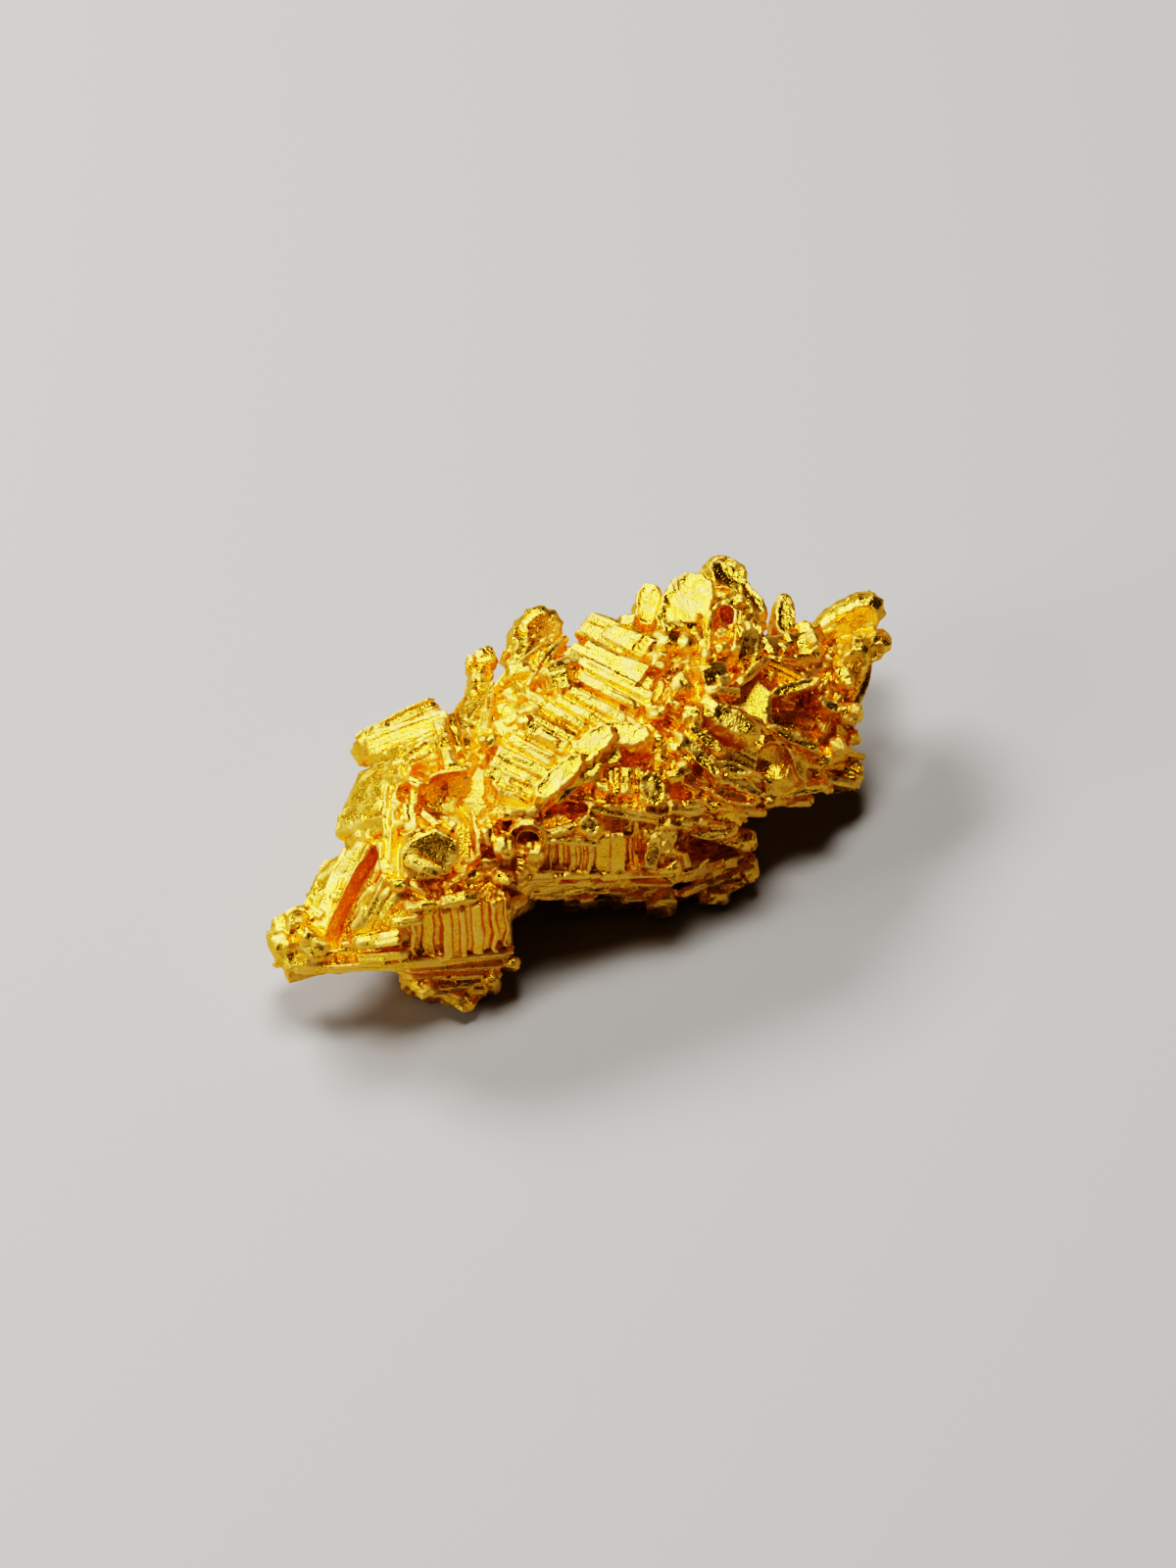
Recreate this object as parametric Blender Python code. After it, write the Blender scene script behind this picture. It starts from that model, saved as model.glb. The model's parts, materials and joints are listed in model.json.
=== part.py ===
"""A crystalline gold nugget, 27 mm long: striated prisms, blades, fluted walls and knobs in one solid.

The crystals are laid out as they face someone who stands to the left of the front and looks down on them.
A place is (right, up) in millimetres in that view, and a lift above the nugget's body toward the viewer.
"""

import math
import random

import bmesh
import bpy
from mathutils import Matrix, Vector

for leftover in list(bpy.data.objects):
    bpy.data.objects.remove(leftover)

MM = 0.001

# The viewer's directions in the part's own frame: +X along the nugget, +Z up.
VIEW_TURN = math.radians(-34)
VIEW_TILT = math.radians(41)
RIGHT = Vector((math.cos(VIEW_TURN), math.sin(VIEW_TURN), 0))
NEAR = Vector(
    (
        math.sin(VIEW_TURN) * math.cos(VIEW_TILT),
        -math.cos(VIEW_TURN) * math.cos(VIEW_TILT),
        math.sin(VIEW_TILT),
    )
)
UP = NEAR.cross(RIGHT)

# The body under the crystals, as stations along its axis: right, up, half width.
BODY = (
    (-11.0, -5.0, 0.7),
    (-10.0, -5.1, 1.2),
    (-8.8, -4.5, 1.7),
    (-7.8, -3.6, 2.5),
    (-6.8, -2.6, 3.6),
    (-6.0, -2.1, 4.3),
    (-3.5, -1.4, 4.8),
    (-2.0, 0.5, 4.5),
    (0.0, 0.9, 4.7),
    (3.0, 1.6, 5.0),
    (5.0, 2.2, 4.8),
    (6.5, 2.6, 3.6),
    (8.0, 2.8, 3.0),
    (9.5, 3.6, 1.8),
    (10.4, 4.6, 0.7),
)
BODY_FALL = -0.51  # how far the axis runs away from the viewer for each mm to the right
FLATNESS = 1.25  # width of the body over its height
CORE_INSET = 0.8  # from the crystals' outer faces to the core
GROUND = -3.75  # height of the surface that the nugget rests on, below the axis at right = 0

FACETS = 9900  # triangles in the finished solid

GOLD_COLOUR = (0.95, 0.68, 0.22, 1)
GOLD_ROUGHNESS = 0.3

CHAMFER = 0.16  # share of a crystal's width
JITTER = 0.035  # how far the corners stray, as a share of the crystal's size
RUGGED = 2.2  # how much further they stray on a knob, a foot or a lobe, which start at a size of 1
KNOB_BEVEL = 0.26
FOOT_BEVEL = 0.2
SUNK = 0.25  # share of a knob's depth that its middle lies under its lift
LOBE_SUNK = 0.35
HOOK_SIDES = 10
HOOK_DEPTH = 2.2  # how much deeper a hook is than its rim is thick
BACK_DEPTH = 2.2  # how far the crystals on the back reach in

rng = random.Random(0)  # seeded again with each region's name


# --- places -----------------------------------------------------------------


def body_at(u):
    """Centre height and half width of the body at this distance to the right."""
    u = min(max(u, BODY[0][0]), BODY[-1][0])
    for (u0, v0, r0), (u1, v1, r1) in zip(BODY, BODY[1:]):
        if u <= u1:
            t = (u - u0) / (u1 - u0)
            return v0 + (v1 - v0) * t, r0 + (r1 - r0) * t
    return BODY[-1][1], BODY[-1][2]


def near_at(u, v):
    """How near the viewer the body's outside is, for an elliptical section of half width r."""
    centre, r = body_at(u)
    rise = v - centre
    y_up, y_near, z_up, z_near = UP.y, NEAR.y, UP.z * FLATNESS, NEAR.z * FLATNESS
    a = y_near**2 + z_near**2
    b = (y_up * y_near + z_up * z_near) * rise
    c = (y_up**2 + z_up**2) * rise**2 - r**2
    return BODY_FALL * u + (-b + math.sqrt(max(0.0, b * b - a * c))) / a


def spot(u, v, lift=0.0):
    return RIGHT * u + UP * v + NEAR * (near_at(u, v) + lift)


def outward(u, v):
    """The body's outward direction there, turned halfway to the viewer."""
    step = 0.2
    du = (near_at(u + step, v) - near_at(u - step, v)) / (2 * step)
    dv = (near_at(u, v + step) - near_at(u, v - step)) / (2 * step)
    slope = (RIGHT * -du + UP * -dv + NEAR).normalized()
    return (slope + NEAR).normalized()


def round_the_back(u, angle, lift=0.0):
    """A place on the body's section at u, and its outward direction. Angle 0 is the top, 90 the back."""
    centre, r = body_at(u)
    axis = RIGHT * u + UP * centre + NEAR * (BODY_FALL * u)
    a = math.radians(angle)
    out = Vector((0, math.sin(a), math.cos(a) * FLATNESS)).normalized()
    return axis + Vector((0, math.sin(a) * r, math.cos(a) * r / FLATNESS)) + out * lift, out


# --- cross-sections, as (across, out) with the outer face at 0 ----------------


def block(width, depth):
    c = CHAMFER * width
    w = width / 2
    return [(-w + c, 0), (w - c, 0), (w, -c), (w, -depth), (-w, -depth), (-w, -c)]


def roof(width, depth):
    w = width / 2
    return [(0, 0), (w, -0.45 * width), (w, -depth), (-w, -depth), (-w, -0.45 * width)]


def half_round(width, depth):
    w = width / 2
    arc = [(w * math.sin(a), w * (math.cos(a) - 1)) for a in (-1.2, -0.4, 0.4, 1.2)]
    return arc + [(w, -depth), (-w, -depth)]


def comb(ridges, groove):
    """A section whose outer face has this many uneven ridges."""

    def section(width, depth):
        shares = [rng.uniform(0.5, 1.5) for _ in range(ridges)]
        left = -width / 2
        points = []
        for i, share in enumerate(shares):
            pitch = width * share / sum(shares)
            top = -groove * 0.6 * rng.random()
            crest = rng.uniform(0.3, 0.65)
            points += [(left + 0.08 * pitch, top), (left + crest * pitch, top)]
            if i < ridges - 1:
                floor = top - groove * rng.uniform(0.4, 1.0)
                points += [(left + (crest + 0.14) * pitch, floor), (left + 0.94 * pitch, floor)]
            left += pitch
        return points + [(width / 2, -depth), (-width / 2, -depth)]

    return section


def stairs(steps, drop):
    """A section whose outer face goes down in steps from one side to the other."""

    def section(width, depth):
        tread = width / steps
        points = []
        for i in range(steps):
            left = -width / 2 + i * tread
            points += [(left, -i * drop), (left + 0.85 * tread, -i * drop)]
        return points + [(width / 2, -depth), (-width / 2, -depth)]

    return section


def leaf(length, width, points=10):
    """A full oval outline, long way up."""

    def fuller(share):
        return math.copysign(abs(share) ** 0.8, share)

    angles = [2 * math.pi * i / points for i in range(points)]
    return [(width / 2 * fuller(math.sin(a)), length / 2 * fuller(math.cos(a))) for a in angles]


# --- solids -------------------------------------------------------------------

grown = bpy.data.collections.new("nugget_growth")
hollows = bpy.data.collections.new("nugget_hollows")
late = bpy.data.collections.new("nugget_late_growth")  # what grows after the hollows are cut


def solid(name, bm, collection):
    """Makes an object in metres from a closed bmesh in millimetres."""
    bmesh.ops.recalc_face_normals(bm, faces=bm.faces)
    bmesh.ops.scale(bm, vec=(MM, MM, MM), verts=bm.verts)
    mesh = bpy.data.meshes.new(name)
    bm.to_mesh(mesh)
    bm.free()
    obj = bpy.data.objects.new(name, mesh)
    obj.hide_render = True
    obj.display_type = "WIRE"
    collection.objects.link(obj)


def loft(outline, start, end, out, rings):
    """Skins an outline from start to end, its second axis along out. Rings are (share of the way, size)."""
    axis = (end - start).normalized()
    out = (out - axis * out.dot(axis)).normalized()
    across = axis.cross(out)
    middle_x = sum(x for x, _ in outline) / len(outline)
    middle_y = sum(y for _, y in outline) / len(outline)
    bm = bmesh.new()
    loops = []
    for share, size in rings:
        centre = start.lerp(end, share)
        corners = [(middle_x + (x - middle_x) * size, middle_y + (y - middle_y) * size) for x, y in outline]
        loops.append([bm.verts.new(centre + across * x + out * y) for x, y in corners])
    for low, high in zip(loops, loops[1:]):
        for k in range(len(outline)):
            m = (k + 1) % len(outline)
            bm.faces.new((low[k], low[m], high[m], high[k]))
    bm.faces.new(loops[0])
    bm.faces.new(loops[-1])
    return bm


def roughen(bm, size):
    for vert in bm.verts:
        vert.co += Vector([rng.uniform(-1, 1) * JITTER * size for _ in range(3)])


def crystal(
    start,
    end,
    width,
    depth=1.6,
    lift=0.0,
    lift_end=None,
    section=block,
    face=None,
    tips=(0.8, 0.8),
    tip=0.2,
    into=grown,
):
    """A straight crystal between two places. Its outer face is lifted, and it goes down to its depth."""
    lift_end = lift if lift_end is None else lift_end
    a, b = spot(*start, lift), spot(*end, lift_end)
    out = face or outward((start[0] + end[0]) / 2, (start[1] + end[1]) / 2)
    share = min(0.4, tip / (b - a).length)
    bm = loft(section(width, depth), a, b, out, ((0, tips[0]), (share, 1), (1 - share, 1), (1, tips[1])))
    roughen(bm, min(width, depth))
    solid("crystal", bm, into)


def blade(centre, length, width, thick, slant, lift=0.0, face=None, points=10, edge=0.55, into=grown):
    """A flat leaf-shaped crystal. Slant is its long axis above the viewer's horizontal, in degrees."""
    out = face or outward(*centre)
    a = math.radians(slant)
    along = RIGHT * math.cos(a) + UP * math.sin(a)
    top = spot(*centre, lift)
    bm = loft(leaf(length, width, points), top - out * thick, top, along, ((0, 0.9), (0.6, 1), (1, edge)))
    roughen(bm, thick * 0.6)
    solid("blade", bm, into)


def place_axes(middle, spin, size):
    """The transform of a unit shape to these sizes along right, up and near, turned, at the middle."""
    axes = Matrix((RIGHT * size[0], UP * size[1], NEAR * size[2])).transposed().to_4x4()
    return Matrix.Translation(middle) @ spin @ axes


def knob(centre, size, lift=0.0, turn=None):
    """A blunt crystal with flat faces, standing out by about a third of its size."""
    bm = bmesh.new()
    bmesh.ops.create_cube(bm, size=1)
    bmesh.ops.bevel(bm, geom=bm.edges[:], offset=KNOB_BEVEL, segments=1, affect="EDGES")
    roughen(bm, RUGGED)
    if turn is None:
        turn = rng.uniform(-0.5, 0.5)
    spin = Matrix.Rotation(turn, 4, NEAR) @ Matrix.Rotation(rng.uniform(-0.5, 0.5), 4, RIGHT)
    middle = spot(*centre, lift - SUNK * size[2])
    bmesh.ops.transform(bm, matrix=place_axes(middle, spin, size), verts=bm.verts)
    solid("knob", bm, grown)


def lobe(centre, size, lift=0.0, slant=0.0, subdivisions=1, into=grown):
    """A rounded lump or hollow, an ellipsoid of these three sizes."""
    bm = bmesh.new()
    bmesh.ops.create_icosphere(bm, subdivisions=subdivisions, radius=0.5)
    roughen(bm, RUGGED * 0.4)
    spin = Matrix.Rotation(math.radians(slant), 4, NEAR)
    middle = spot(*centre, lift - LOBE_SUNK * size[2])
    bmesh.ops.transform(bm, matrix=place_axes(middle, spin, size), verts=bm.verts)
    solid("lobe", bm, into)


def hook(centre, radius, thick, lift, tilt):
    """A hooped crystal edge: a ring standing on its side."""
    bpy.ops.mesh.primitive_torus_add(
        major_segments=HOOK_SIDES, minor_segments=4, major_radius=radius, minor_radius=thick / 2
    )
    torus = bpy.context.object
    bm = bmesh.new()
    bm.from_mesh(torus.data)
    bpy.data.objects.remove(torus)
    facing = (NEAR + UP * tilt).normalized()
    axes = Matrix((RIGHT, facing.cross(RIGHT), facing * HOOK_DEPTH)).transposed().to_4x4()
    bmesh.ops.transform(bm, matrix=Matrix.Translation(spot(*centre, lift)) @ axes, verts=bm.verts)
    solid("hook", bm, late)


# --- the body -------------------------------------------------------------------


def core():
    """Overlapping lobes along the axis, hidden by the crystals except at the bottom of the hollows."""
    thin_beyond, least, end = 6.2, 0.9, 9.3
    for u in (-9.4, -7.6, -5.6, -4.0, -2.0, 0.2, 2.4, 4.6, 6.5, 8.2):
        v, r = body_at(u)
        r = max(least, r - CORE_INSET - (0.5 if abs(u) > thin_beyond else 0))
        bm = bmesh.new()
        bmesh.ops.create_icosphere(bm, subdivisions=2, radius=1)
        roughen(bm, 1.2)
        size = Matrix.Diagonal((min(2.2, r + 0.4, end - u), r, r / FLATNESS, 1))
        middle = RIGHT * u + UP * v + NEAR * (BODY_FALL * u)
        bmesh.ops.transform(bm, matrix=Matrix.Translation(middle) @ size, verts=bm.verts)
        solid("core", bm, grown)


def masses():
    """Broad blocks under some groups of crystals, so that the clefts between them stay shallow."""
    crystal((-9.2, -5.1), (-7.2, -2.2), 2.0, depth=2.4, lift=-0.9)
    crystal((-6.6, -1.0), (-5.4, -3.0), 1.5, depth=2.4, lift=-0.6)
    crystal((-5.0, -6.5), (-3.2, -6.5), 1.5, depth=4.0, lift=-0.9)
    crystal((-5.4, -6.8), (-3.2, -6.8), 0.9, depth=3.4, lift=-1.2)
    crystal((-2.2, 0.8), (0.5, 4.0), 2.0, depth=3.0, lift=-0.45)
    crystal((-0.4, 4.0), (2.0, 2.85), 2.5, depth=3.0, lift=0.35, tips=(0.95, 0.95), tip=0.1)
    crystal((-2.6, 1.5), (-0.75, 0.55), 3.0, depth=3.0, lift=0.35, tips=(0.95, 0.95), tip=0.1)
    crystal((3.2, 1.6), (5.8, 0.2), 1.8, depth=2.4, lift=0.0)
    crystal((6.2, 0.4), (8.5, 0.5), 1.4, depth=2.4, lift=-0.2)
    crystal((8.3, 4.3), (8.9, 2.0), 1.1, depth=2.0, lift=-0.3)
    crystal((7.4, 0.55), (8.9, 0.55), 0.7, depth=2.4, lift=0.0)
    crystal((8.7, 2.4), (8.7, 0.6), 0.7, depth=2.0, lift=-0.1)
    crystal((-1.7, -3.45), (3.0, -3.4), 0.9, depth=2.0, lift=-1.0)
    crystal((-3.75, 3.0), (-3.6, 4.4), 0.5, depth=1.0, lift=-0.5)


# --- the left end ----------------------------------------------------------------


def left_tip():
    """The blunt end: broad flat-faced crystals grown through each other."""
    crystal((-10.25, -4.2), (-9.6, -6.0), 1.3, depth=2.2, lift=0.0, tips=(0.7, 0.85), tip=0.5)
    crystal((-10.6, -4.7), (-10.0, -5.8), 0.8, depth=2.0, lift=-0.3, tips=(0.7, 0.8), tip=0.3)
    crystal((-9.95, -4.0), (-8.9, -4.6), 0.8, depth=2.0, lift=-0.1, section=roof, tips=(0.6, 0.9), tip=0.4)
    crystal((-9.8, -6.0), (-8.4, -5.9), 0.6, depth=2.0, lift=0.1, tips=(0.7, 0.9), tip=0.4)
    knob((-9.3, -5.3), (1.1, 0.9, 1.2), 0.0)
    knob((-10.3, -5.3), (0.7, 0.7, 0.9), 0.1)
    knob((-9.75, -4.6), (0.7, 0.6, 0.9), 0.15)


def prow():
    """Two plates that lean together, with a deep slot between them."""
    crystal((-9.55, -4.6), (-8.55, -2.4), 0.6, lift=-0.5, section=stairs(2, 0.15))
    crystal((-9.1, -4.9), (-8.0, -2.0), 0.6, lift=-0.15)
    crystal((-8.75, -5.1), (-7.35, -1.9), 0.5, lift=0.1, section=roof)
    crystal((-8.3, -2.2), (-7.4, -1.6), 0.5, lift=0.0)
    crystal((-8.0, -5.5), (-6.75, -3.0), 0.5, lift=0.45, section=roof)
    crystal((-7.5, -5.1), (-6.6, -3.6), 0.45, lift=0.25, section=stairs(2, 0.15))
    crystal((-7.05, -4.7), (-6.3, -3.6), 0.4, lift=0.1)
    blade((-7.95, -3.7), 4.2, 0.75, 1.6, 64, lift=0.15, edge=0.9, into=hollows)


def small_prism():
    crystal((-8.6, -1.4), (-6.8, -0.8), 1.0, 1.8, lift=0.8, lift_end=0.0, tips=(0.85, 0.95))
    crystal((-8.4, -1.05), (-6.9, -0.45), 0.35, depth=1.4, lift=0.9, lift_end=0.2)
    crystal((-8.3, -1.6), (-6.9, -1.15), 0.35, depth=1.4, lift=0.9, lift_end=0.15, section=half_round)


def upper_left_prism():
    """The large striated prism that lies along the top of the left end, on a lower shelf."""
    tilt = (UP * 0.45 + NEAR).normalized()
    ridges = comb(3, 0.06)
    crystal((-7.75, 1.45), (-5.0, 2.75), 0.85, 1.4, lift=0.3, section=ridges, face=tilt, tip=0.3)
    ridges = comb(4, 0.08)
    crystal((-7.75, 1.15), (-4.75, 2.3), 0.95, 2.6, lift=0.55, section=ridges, tips=(0.8, 0.85), tip=0.3)
    crystal((-7.4, 0.55), (-5.0, 1.3), 1.1, depth=2.4, lift=0.45, section=comb(3, 0.1), tips=(0.85, 0.9))
    crystal((-5.05, 2.3), (-4.6, 0.6), 0.5, depth=2.0, lift=0.5)
    crystal((-4.75, 2.5), (-4.4, 1.2), 0.5, depth=2.0, lift=0.0)
    blade((-5.6, 0.7), 1.1, 0.5, 0.9, 62, lift=0.5, edge=0.9, into=hollows)


def arch():
    crystal((-7.3, 0.05), (-6.1, 0.2), 0.45, lift=0.3, section=half_round)
    crystal((-6.2, 0.25), (-5.3, -0.1), 0.4, lift=0.35, section=half_round)
    crystal((-6.9, -0.2), (-6.85, -1.7), 0.4, lift=0.15, section=roof)
    crystal((-6.55, -0.7), (-6.6, -2.9), 0.35, lift=0.1, section=roof)
    crystal((-6.0, -0.5), (-5.9, -1.5), 0.5, lift=0.3, section=block)
    crystal((-7.0, -1.8), (-6.8, -3.0), 0.3, lift=0.1)
    crystal((-5.75, -0.2), (-4.35, -1.5), 0.26, lift=0.4, section=block)
    crystal((-5.6, -0.9), (-4.5, -1.8), 0.28, lift=0.35, section=block)
    lobe((-6.2, -0.25), (0.5, 0.75, 1.6), 0.5, slant=-20, into=hollows)


def dark_hexagon():
    """A six-sided prism that points at the viewer and shows its end."""
    left = [(-1.0, 0.5), (-0.2, 0.9), (0.65, 0.5), (1.0, 0.05)]
    right = [(1.0, -0.65), (0.5, -0.95), (-0.6, -0.7), (-1.0, -0.1)]
    start = spot(-5.2, -1.9, -2.4)
    end = spot(-5.3, -2.35, 0.55)
    bm = loft(left + right, start, end, UP, ((0, 1), (0.95, 1.0), (1, 0.93)))
    solid("dark_hexagon", bm, grown)
    crystal((-6.1, -2.5), (-4.9, -3.05), 0.4, depth=0.8, lift=0.65, face=NEAR)
    crystal((-6.1, -1.75), (-5.4, -1.45), 0.22, depth=1.2, lift=0.75, section=half_round)
    crystal((-5.4, -1.4), (-4.4, -2.1), 0.24, depth=1.2, lift=0.75, section=half_round)


def left_front():
    """Knobs and fingers between the prow and the fluted wall."""
    crystal((-7.9, -5.45), (-6.3, -5.15), 0.5, lift=0.6, section=half_round)
    crystal((-6.2, -4.1), (-4.9, -4.0), 0.4, lift=0.35, section=half_round)
    crystal((-5.0, -4.0), (-3.5, -3.7), 0.5, lift=0.45, section=half_round)
    crystal((-6.7, -4.7), (-5.5, -4.55), 0.4, lift=0.4, section=half_round)
    knob((-6.3, -3.35), (0.7, 0.5, 0.9), 0.3)
    crystal((-6.0, -3.3), (-5.2, -3.7), 0.3, lift=0.35, section=roof)
    crystal((-4.9, -3.4), (-3.9, -2.9), 0.3, lift=0.2, section=roof)
    crystal((-4.3, -2.7), (-3.6, -2.4), 0.22, lift=0.3, section=roof)
    knob((-2.9, -3.1), (0.6, 0.5, 0.8), 0.1)
    knob((-2.25, -3.05), (0.5, 0.35, 0.8), 0.1)
    crystal((-2.7, -4.2), (-1.9, -3.7), 0.45, lift=-0.1, section=half_round)


# Thin layers of the left foot, top to bottom: start, end, lift.
FOOT_LAYERS = (
    ((-6.05, -6.25), (-2.4, -6.05), 0.05),
    ((-6.1, -6.55), (-2.8, -6.4), -0.1),
    ((-5.9, -6.85), (-3.0, -6.7), -0.3),
    ((-5.4, -7.1), (-3.3, -7.0), -0.5),
    ((-4.9, -7.35), (-3.8, -7.3), -0.7),
)


def left_wall():
    """The fluted wall over the left foot, its ledge, and the layered foot itself."""
    crystal((-4.55, -4.2), (-4.45, -5.95), 3.9, depth=2.6, lift=0.1, section=comb(8, 0.5), tips=(1, 1))
    crystal((-2.8, -4.25), (-2.75, -5.75), 0.85, depth=2.4, lift=0.1, section=block, tips=(0.85, 1))
    crystal((-10.0, -6.3), (-6.0, -6.15), 0.4, depth=2.4, lift=0.3, section=stairs(2, 0.12))
    crystal((-6.2, -6.1), (-2.35, -5.75), 0.4, depth=2.6, lift=0.45, section=block)
    crystal((-7.9, -5.9), (-6.1, -5.8), 0.4, depth=1.8, lift=0.3, section=block)
    crystal((-5.6, -6.6), (-3.2, -6.55), 1.2, depth=2.6, lift=-0.5, face=NEAR)
    facing = (NEAR - UP * 0.2).normalized()
    for start, end, lift in FOOT_LAYERS:
        crystal(start, end, 0.34, depth=1.8, lift=lift, face=facing, section=half_round)
    knob((-2.7, -6.05), (0.8, 0.45, 1.4), 0.0)
    knob((-3.3, -6.7), (0.7, 0.5, 1.4), -0.3)
    knob((-5.5, -6.75), (0.8, 0.5, 1.4), -0.4)
    knob((-4.4, -7.1), (1.4, 0.5, 1.4), -0.6)


# --- the hollow in the middle ------------------------------------------------------


def bowl():
    """The smooth bowl and the channel below it, with a thin blade standing in it."""
    lobe((-4.35, -0.45), (2.8, 1.9, 2.3), 0.85, subdivisions=2, into=hollows)
    blade((-4.15, -1.9), 2.3, 0.75, 1.5, 88, lift=0.2, edge=0.9, into=hollows)
    crystal((-3.85, -0.8), (-3.6, -2.4), 0.17, depth=1.4, lift=0.15, section=block, into=late)
    crystal((-5.3, 0.25), (-3.9, 0.65), 0.3, lift=0.35, section=half_round)
    crystal((-3.3, -0.1), (-1.6, -0.75), 0.5, lift=0.3, section=half_round)
    crystal((-3.5, -0.7), (-2.6, -1.1), 0.4, lift=0.25, section=block)
    knob((-3.3, -1.7), (0.6, 0.8, 1.2), 0.0)


def hooks():
    """Two blunt crystals with a hooped edge between them."""
    crystal((-3.0, -1.05), (-1.5, -0.9), 0.4, lift=0.55, section=half_round)
    knob((-2.8, -2.1), (0.75, 0.9, 1.2), 0.4)
    knob((-1.8, -2.35), (0.7, 0.85, 1.2), 0.35)
    lobe((-2.15, -1.55), (1.1, 0.85, 1.6), 0.45, into=hollows)
    hook((-2.05, -1.75), 0.62, 0.2, 0.35, -0.7)
    hook((-2.0, -1.8), 0.4, 0.16, 0.25, -0.7)
    crystal((-2.3, -2.75), (-1.5, -2.9), 0.3, lift=0.3, section=half_round)


# --- the upper middle --------------------------------------------------------------


def column():
    crystal((-4.15, 1.2), (-3.9, 3.05), 0.85, depth=1.8, lift=-0.3, section=half_round)
    crystal((-4.3, 3.25), (-3.2, 3.35), 0.5, depth=1.2, lift=-0.3, section=half_round)
    knob((-3.6, 3.75), (0.8, 0.5, 0.9), -0.2)
    knob((-3.95, 4.0), (0.5, 0.7, 0.8), -0.3)
    knob((-3.5, 4.25), (0.75, 0.75, 0.8), -0.2, turn=0.4)


def arc_hopper():
    """A round-topped rim about a smooth recess, with a bright plate under it."""
    crystal((-3.5, 1.8), (-3.3, 3.2), 0.28, lift=0.3, section=block)
    crystal((-3.35, 3.1), (-2.8, 3.6), 0.3, lift=0.3, section=half_round)
    crystal((-2.9, 3.6), (-1.45, 2.75), 0.42, lift=0.4, section=half_round)
    crystal((-3.2, 1.75), (-1.5, 2.65), 0.75, lift=0.35, section=block)
    lobe((-2.75, 2.65), (1.2, 1.0, 1.4), 0.3, slant=45, into=hollows)


def leaf_crystal():
    lean = (NEAR + RIGHT * 0.3).normalized()
    blade((-1.62, 5.1), 2.2, 1.6, 1.4, 50, lift=0.0, face=lean, points=12, edge=0.7)
    crystal((-2.35, 4.3), (-2.25, 5.5), 0.6, depth=1.4, lift=-0.3, section=half_round)
    crystal((-2.95, 4.0), (-1.4, 5.1), 0.34, lift=0.2, section=roof)
    crystal((-2.55, 3.9), (-1.1, 4.95), 0.34, lift=0.25, section=roof)
    crystal((-2.0, 3.5), (-0.7, 5.25), 0.36, lift=0.45, section=roof)
    knob((-2.35, 3.7), (0.9, 0.6, 1.1), 0.2)


# Parallel rods of the striated block: start, end, width, lift.
RODS = (
    ((-0.15, 4.8), (2.0, 3.8), 0.46, 0.45),
    ((-0.6, 4.75), (2.3, 3.4), 0.4, 0.6),
    ((-0.35, 4.25), (2.2, 2.95), 0.44, 0.68),
    ((-0.3, 3.65), (1.8, 2.6), 0.42, 0.52),
    ((-0.7, 3.25), (1.3, 2.15), 0.42, 0.6),
    ((-1.1, 2.95), (0.6, 1.95), 0.34, 0.46),
    ((-1.5, 2.7), (-0.05, 1.9), 0.36, 0.55),
    ((-2.0, 2.0), (-0.65, 1.2), 0.62, 0.74),
    ((-2.7, 1.6), (-1.15, 0.75), 0.44, 0.58),
    ((-3.1, 1.2), (-1.35, 0.3), 0.46, 0.64),
    ((-3.3, 0.8), (-1.55, -0.1), 0.38, 0.42),
    ((-3.5, 0.45), (-1.75, -0.4), 0.34, 0.32),
)


def striated_block():
    """The tall middle block: a bright top prism, and rods that step down to the valley in front."""
    top = (UP * 0.35 + NEAR).normalized()
    crystal((-0.4, 5.65), (2.0, 4.65), 1.2, 2.4, lift=0.9, lift_end=0.8, face=top, tips=(0.75, 0.9), tip=0.4)
    for start, end, width, lift in RODS:
        crystal(start, end, width, depth=2.0, lift=lift, section=block, tips=(0.85, 0.9), tip=0.1)
    crystal((-1.5, 3.75), (-0.15, 4.5), 0.5, lift=0.85, section=block)
    knob((-0.95, 3.4), (1.0, 0.9, 1.4), 0.35)
    knob((-2.15, 2.1), (0.5, 0.5, 1.0), 0.55)
    knob((-3.3, 1.4), (0.7, 0.5, 1.0), 0.45)
    knob((1.35, 5.3), (0.8, 0.6, 2.2), -0.4)


# --- the front middle ----------------------------------------------------------------


def front_crest():
    """The bright crest that runs up from the bowl and bends over to the right, and the faces below it."""
    raised = (NEAR + UP * 0.4).normalized()
    blade((-0.95, 0.3), 2.7, 0.9, 1.8, 48, lift=0.95, face=raised, edge=0.75)
    blade((0.1, 1.35), 2.3, 1.1, 1.8, 46, lift=1.1, face=raised, edge=0.75)
    blade((1.15, 1.75), 2.3, 1.05, 1.8, -6, lift=1.05, face=raised, edge=0.75)
    crystal((-1.2, -0.35), (0.6, 1.15), 0.9, depth=2.0, lift=0.75, section=stairs(3, 0.1))
    blade((0.0, 0.5), 1.9, 1.1, 2.0, 42, lift=0.7)
    blade((0.75, 0.95), 1.2, 0.8, 2.0, 20, lift=0.55)
    crystal((0.85, 1.1), (0.95, -0.6), 0.5, depth=2.0, lift=0.3)
    crystal((-0.95, -0.1), (0.6, 0.35), 0.3, lift=0.6, section=half_round)
    crystal((0.3, 1.3), (2.0, 1.4), 0.3, lift=0.7, section=half_round)
    crystal((1.35, 0.75), (1.3, -0.5), 0.55, depth=2.0, lift=0.6, section=block)
    blade((2.2, -0.15), 1.5, 1.0, 1.8, 105, lift=0.9, points=8, edge=0.8)
    crystal((1.8, 0.6), (1.85, -0.7), 0.3, lift=0.75, section=half_round)
    knob((0.5, -0.2), (0.6, 0.5, 1.0), 0.3)


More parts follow.
